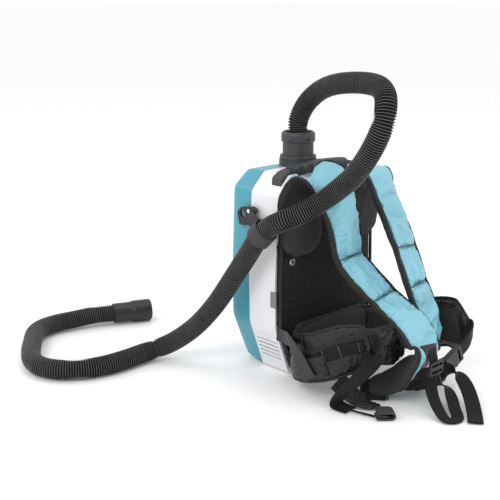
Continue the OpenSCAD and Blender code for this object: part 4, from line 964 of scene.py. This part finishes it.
WING_HALF = 39.0
WING_STEP = 3.0
WING_TIP = 14.0  # length over which the tip narrows
WING_DEPTHS = ((1, 9.6), (-1, 5.6))  # inner face, outer face
WING_EDGE_UP = (1, 0.2, 0)
PANEL_SHARE = 0.7  # of the wing's width
PANEL_MARGIN = (3, 5)  # steps left free at the root and at the tip
WINGS = dict(
    left=dict(
        seed=11, side=(0, 0, -1), widths=[0.9, 1, 1, 1, 1, 0.8], swells=[0.8, 1, 1, 1, 0.9, 0.5],
        route=[(-88.2, -82.4, 56), (-114, -97, 58), (-129, -128, 64), (-130, -170, 78), (-118, -212, 99),
               (-96, -246, 112)]),
    right=dict(
        seed=12, side=(0, 0, 1), widths=[0.9, 1, 1.05, 1.08, 1.08, 1.06, 0.45],
        swells=[0.8, 1, 1, 1, 1, 0.9, 0.5],
        route=[(88.2, -82.4, 56), (114, -97, 58), (128, -132, 62), (133, -180, 74), (130, -225, 90),
               (122, -260, 95), (117, -283, 101)]))


def wing_body(word, r, w, fat, seed):
    """Nylon body of a hip wing, and the binding round its rim."""
    rings = []
    for i, s in enumerate(r.run):
        ring = []
        for face, depth in WING_DEPTHS:
            for c in spaced(24):
                x = c * face
                bulge = (1 - abs(x) ** 5) ** 0.5
                ripple = n3(s / 13, x * 3, face, seed) * 1.4 + n3(s / 5, x * 8, face, seed + 1) * 0.5
                height = max(depth * fat[i] * bulge + ripple * bulge, 0.3)
                ring.append(r.lay(i, x * w[i] * 0.985, face * height))
        rings.append(ring[::-1])
    node = "hip_wing_" + word
    dress(lofted("hip_wing_body_" + word, rings, r.run), slots[node], LOOKS["black_fabric"], node)
    n = len(w) - 1
    edge = [r.lay(i, w[i], 0.5) for i in range(n + 1)]
    for a in (math.pi * k / 6 for k in range(1, 6)):
        edge.append(r.lay(n, w[n] * math.cos(a), 0.5) + r.ahead[n] * math.sin(a) * 3)
    edge += [r.lay(i, -w[i], 0.5) for i in range(n, -1, -1)]
    tube("hip_wing_rim_" + word, edge, 2.5, up=WING_EDGE_UP, wobble=0.1, seed=seed)


def wing_panel(word, r, w, fat, seed):
    """Mesh panel on a wing's inner face, and the piping round it."""
    first, last = PANEL_MARGIN[0], len(w) - 1 - PANEL_MARGIN[1]
    inside = range(first, last + 1)
    rings = []
    for i in inside:
        hump = min(1, 0.35 + min(i - first, last - i) * 0.3)
        ring = []
        for x in spaced(18):
            y = 8.2 * fat[i] + 3.6 * hump * (1 - abs(x) ** 6) ** 0.5 + n3(r.run[i] / 11, x * 2, seed) * 0.8
            ring.append(r.lay(i, x * w[i] * PANEL_SHARE, y))
        ring += [r.lay(i, x * w[i] * PANEL_SHARE, 5.5 * fat[i]) for x in (1, 0, -1)]
        rings.append(ring[::-1])
    dress(lofted("hip_wing_mesh_" + word, rings, r.run[first:last + 1]), "black_mesh")
    rim = [r.lay(i, w[i] * PANEL_SHARE, 9.0 * fat[i]) for i in inside]
    rim += [r.lay(i, -w[i] * PANEL_SHARE, 9.0 * fat[i]) for i in reversed(inside)]
    tube("hip_wing_piping_" + word, rim + rim[:1], 1.5, up=WING_EDGE_UP)


def wing(word, form):
    """Hip wing; gives its route, half widths and swells."""
    r = Route(form["route"], form["side"], WING_STEP)
    w = [WING_HALF * v for v in r.values(form["widths"])]
    for i, s in enumerate(r.run):
        w[i] *= 1 - 0.22 * max(0.0, 1 - (r.length - s) / WING_TIP) ** 2
    fat = r.values(form["swells"])
    wing_body(word, r, w, fat, form["seed"])
    wing_panel(word, r, w, fat, form["seed"])
    return r, w, fat


def pouch(r, w, fat):
    """Zip, seam, pocket with its flap and the band of loops, on the left wing's outer face."""

    def face(x):
        """Height of the outer face at x half widths."""
        return 5.2 * max(0.0, 1 - abs(x) ** 5) ** 0.5

    def line(start, end, y, n=26):
        """Points from one place to another, each a route point and a share of the half width."""
        points = []
        for k in range(n + 1):
            i = r.step_at(start[0] + (end[0] - start[0]) * k / n)
            x = start[1] + (end[1] - start[1]) * (k / n) ** 1.6
            points.append(r.lay(i, x * w[i], -(face(x) * fat[i] + y)))
        return points

    for k, off in enumerate((-0.045, 0.045)):
        lip = line((0.8, -0.12 + off), (4.9, -0.62 + off), 0.9)
        tube(f"zip_lip_{k}", lip, 1.7, up=WING_EDGE_UP, wobble=0.15, seed=k)
    tube("zip_teeth", line((0.8, -0.12), (4.9, -0.62), 0.9), 0.9, LOOKS["black_plastic"], "black_plastic",
         up=WING_EDGE_UP)
    tube("pouch_seam", line((2.35, -0.96), (2.45, -0.22), 0.5, n=10), 1.1, up=WING_EDGE_UP)
    on_pad("outer_pocket", (r, w), (2.0, 3.2), (0.0, 0.8), face, 7.0, "black_fabric", 5, face=-1)
    on_pad("outer_pocket_flap", (r, w), (1.95, 3.25), (-0.08, 0.3), lambda x: face(x) + 6.0, 2.0,
           "black_fabric", 6, face=-1)
    on_pad("outer_loop_band", (r, w), (3.0, 4.7), (-0.3, 0.25), face, 3.4, "webbing", 7, face=-1)
    for k, t in enumerate((3.3, 3.9, 4.5)):
        i = r.step_at(t)
        tack = [r.lay(i, x * w[i], -(face(x) * fat[i] + 3.6)) for x in (-0.27, -0.1, 0.05, 0.22)]
        tube(f"loop_tack_{k}", tack, 0.8, THREAD, "webbing", up=WING_EDGE_UP)


WING = {word: wing(word, form) for word, form in WINGS.items()}
pouch(*WING["left"])
softened("hip_pocket", "hip_pocket_cover", voxel=3.2, rounds=2, ripple=1.0, seed=6, grain=12, blow=2.0)


# ---- webbing, loose ends and the hose's strap ------------

flat_strap(
    "board_strap",
    [(-114.6, -57, 84), (-115.4, -68, 84), (-124, -85, 87), (-134, -101, 92), (-144, -116, 94),
     (-148, -133, 82), (-148, -150, 61), (-147, -164, 42)],
    (0, 0.3, 0.95), 25, slot="dark_webbing", node="strap_webbing_left", seed=1)
flat_strap(
    "belt_strap_left",
    [(-94.7, -247.9, 112.7), (-92, -254.5, 114.5), (-99, -263, 105), (-118, -258, 80), (-130, -241, 54),
     (-131, -218, 28), (-126, -205, 9), (-124, -212, 3), (-122, -230, 3)],
    [(-0.1, 0.14, 0.95), (0, 0.05, 1), (0.4, -0.1, 0.9), (0.8, -0.5, 0.3), (0.85, -0.5, 0),
     (0.9, -0.4, 0), (0.97, -0.2, 0), (0.99, 0.1, 0), (0.99, 0.11, 0)],
    28.5, thick=2.4, node="belt_webbing_left", seed=2)
flat_strap(
    "keeper",
    [(-121.9, -230.6, 3), (-119, -244, 3), (-114.5, -258, 2.6), (-110.9, -271, 2.3)],
    (0.9, -0.3, 0), 4, thick=1.6, node="keeper_cord", sag=0, seed=3)
flat_strap(
    "rolled_end",
    [(-110, -272, 2.2), (-92, -287.8, 2.2), (-88.2, -291.2, 7.1), (-92, -287.8, 12), (-106.5, -275, 12),
     (-109.3, -272.6, 9.4), (-106, -275.5, 7.1), (-97, -283.4, 7.1)],
    (0.66, 0.75, 0), 28, thick=2.0, slot="dark_webbing", node="folded_webbing", seed=4)
flat_strap(
    "floor_strap",
    [(-55.2, -213.7, 18.9), (-60, -206, 16.5), (-63, -201.5, 10), (-61.5, -204, 4), (-55, -213, 2.4),
     (-44, -227, 2.4), (-38, -235, 2.4)],
    [(0.62, 0.52, 0.53), (0.63, 0.6, 0.4), (0.7, 0.68, 0.1), (0.75, 0.65, 0)] + [(0.78, 0.62, 0)] * 3,
    30, thick=2.4, node="floor_webbing", seed=5)
flat_strap(
    "strap_end_right",
    [(50.6, -257.4, 78.2), (46.2, -261.4, 64.9), (43, -251, 46), (40, -243, 29), (35, -233, 13),
     (30, -224, 4.6)],
    [(0.98, 0.2, 0)] * 4 + [(0.96, 0.26, 0), (0.88, 0.45, 0)],
    52, thick=4.0, slot="black_fabric", node="strap_tail_right", sag=0.8, seed=9)
flat_strap(
    "belt_strap_right",
    [(116.4, -285, 101.6), (114.6, -291, 102), (108, -297, 97), (96.5, -299.5, 87), (84, -300, 77.6),
     (70.4, -300, 71.4)],
    [(0, 0.25, 1), (0, 0.1, 1), (0.1, 0, 1), (0.3, 0, 0.95), (-0.4, 0, 0.91), (-0.4, 0, 0.91)],
    23.6, thick=2.4, node="belt_webbing_right", seed=6)
flat_strap(
    "loop_strap",
    [(-13.1, -301.4, 97), (-13, -306, 86), (-13.4, -309, 72), (-13.6, -309, 58), (-18, -310, 47),
     (-27, -316, 36), (-36, -332, 20), (-41, -350, 6), (-41, -361, 2.8), (-31, -367, 2.6),
     (-19, -362, 3.6), (-10, -350, 10), (0, -337, 20), (7, -324, 30), (4, -312, 36), (-1, -303, 38.5),
     (4, -300.2, 41.4), (10.3, -300, 44.2)],
    [(1, 0, 0)] * 4 + [(0.9, -0.4, 0), (0.8, -0.6, 0), (0.9, -0.45, 0), (0.98, -0.17, 0), (0.85, 0.5, 0),
     (0, 1, 0), (-0.6, 0.75, 0), (-0.8, 0.6, 0), (-0.8, 0.6, 0), (-0.95, 0.1, 0.3), (-0.75, -0.1, 0.65),
     (-0.5, 0, 0.87), (-0.41, 0, 0.91), (-0.41, 0, 0.91)],
    20, node="webbing_loop", seed=7)
flat_strap(
    "tail_strap",
    [(20, -303.7, 48.6), (31, -306, 51), (40, -321, 43), (36, -338, 32), (23, -357, 20), (3, -378, 8),
     (-18, -395, 3)],
    [(0.41, 0, -0.91), (0.5, -0.2, -0.8), (0.7, -0.5, -0.3)] + [(0.8, -0.6, 0)] * 4,
    25, node="webbing_tail", seed=8)

crumpled(
    "wing_end_left",
    [(-106, -230, 106), (-88, -249, 108), (-62, -257, 106), (-36, -250, 100), (-12, -246, 96)],
    [(0.0, 0.1, 1), (0.1, 0, 1), (0.2, 0, 1), (0.3, 0.1, 0.95), (0.3, 0.1, 0.95)],
    [28, 31, 34, 32, 26], 3, 6, 21)
crumpled(
    "wing_fold_left",
    [(-112, -192, 38), (-100, -214, 17), (-90, -238, 6), (-80, -256, 4)],
    [(0.5, 0.2, 0.8), (0.75, 0.35, 0.5), (0.88, 0.4, 0.15), (0.9, 0.4, 0)],
    [17, 16, 15, 9], 3, 4, 23)
crumpled(
    "wing_end_right",
    [(-22, -224, 14), (0, -246, 22), (26, -264, 26), (54, -275, 34), (86, -282, 50)],
    [(0, 0, 1), (-0.1, -0.3, 0.9), (-0.1, -0.3, 0.95), (-0.25, -0.2, 0.95), (-0.4, -0.2, 0.9)],
    [12, 20, 25, 27, 20], 3, 5, 22)


def hose_tie():
    """Band from the holder's slot round the hose, where the frame's own strap lies."""
    centre, axis, radius = Vector((-151.1, -57.1, 265.0)), Vector((-5, 42, -43)).normalized(), 20.5
    slot_end = [(-119.6, 1.5, 280.5), (-121.5, 1, 280)]
    root = Vector((-125.4, -1, 279))
    turn = math.radians(25)
    u = (Vector((0, 0, 1)) - axis.z * axis).normalized()
    v = axis.cross(u)
    drift = (root - centre).dot(axis)
    off = root - centre - drift * axis
    start = math.atan2(off.dot(v), off.dot(u)) + math.acos(radius / off.length)
    # the first two points lead in from the root's place along the hose
    lead = {0: 0.3, 1: 0.1}
    loop = [centre + (u * math.cos(start + turn * i) + v * math.sin(start + turn * i)) * radius
            + axis * drift * lead.get(i, 0) for i in range(13)]
    sides = [(0, 0.67, -0.74)] * 3 + [axis] * len(loop)
    flat_strap("hose_strap_band", slot_end + [root] + loop, sides, 26, thick=1.6, slot="dark_webbing",
               node="hose_strap", sag=0.15, seed=10)


hose_tie()
for node, seed in (("filter_pad", 12), ("exhaust_foam", 13)):
    softened(node, node + "_open_cell", voxel=1.5, rounds=2, ripple=0.3, seed=seed, grain=6)

# wire ring on the floor webbing's end: its outline, across the webbing and upward
WIRE_RING = ((-12, 3), (-12, 15), (-9.5, 17.5), (9.5, 17.5), (12, 15), (12, 3), (9.5, 1.4), (-9.5, 1.4))
tube("webbing_ring", [(-36.5 + 0.78 * x, -237 + 0.62 * x, z) for x, z in WIRE_RING], 1.3,
     LOOKS["black_plastic"], "black_plastic", up=(0.6, -0.75, 0), looped=True)


# ---- floor and light ------------

FLOOR_SIZE = 50
FLOOR_DROP = 0.0004
WORLD_STRENGTH = 1.0
# name, place, size, watts, what it is turned to
LIGHTS = (
    ("key", (-2.2, -0.6, 1.9), 1.0, 22, (0, 0, 0.25)),
    ("top", (0.2, -0.2, 2.6), 1.4, 8, (0, 0, 0.2)),
    ("front", (0.9, -2.4, 1.2), 0.8, 8, (0, -0.1, 0.2)),
    ("rim", (-1.2, 2.2, 1.7), 1.0, 6, (-0.1, 0.1, 0.2)),
)


def paper_white(name):
    s = Surface(name)
    s.base(s.mix(s.noise(0.8, 2), (0.955, 0.955, 0.96), (0.975, 0.975, 0.975)))
    s.put("Roughness", 0.55)
    s.bump(s.noise(180, 2), 0.0001, 0.2)
    return s.m


def studio():
    bpy.ops.mesh.primitive_plane_add(size=FLOOR_SIZE, location=(0, 0, -FLOOR_DROP))
    floor = bpy.context.object
    floor.name = "floor"
    wear(floor, paper_white("floor_look"))
    world = bpy.data.worlds.new("world")
    SCENE.world = world
    world.use_nodes = True
    background = world.node_tree.nodes["Background"]
    background.inputs["Color"].default_value = (1, 1, 1, 1)
    background.inputs["Strength"].default_value = WORLD_STRENGTH
    for name, place, size, power, target in LIGHTS:
        light = bpy.data.lights.new(name, "AREA")
        light.shape, light.size, light.energy = "SQUARE", size, power
        stand(name, light, place, Vector(target) - Vector(place))


studio()
SCENE.view_settings.view_transform = "Standard"
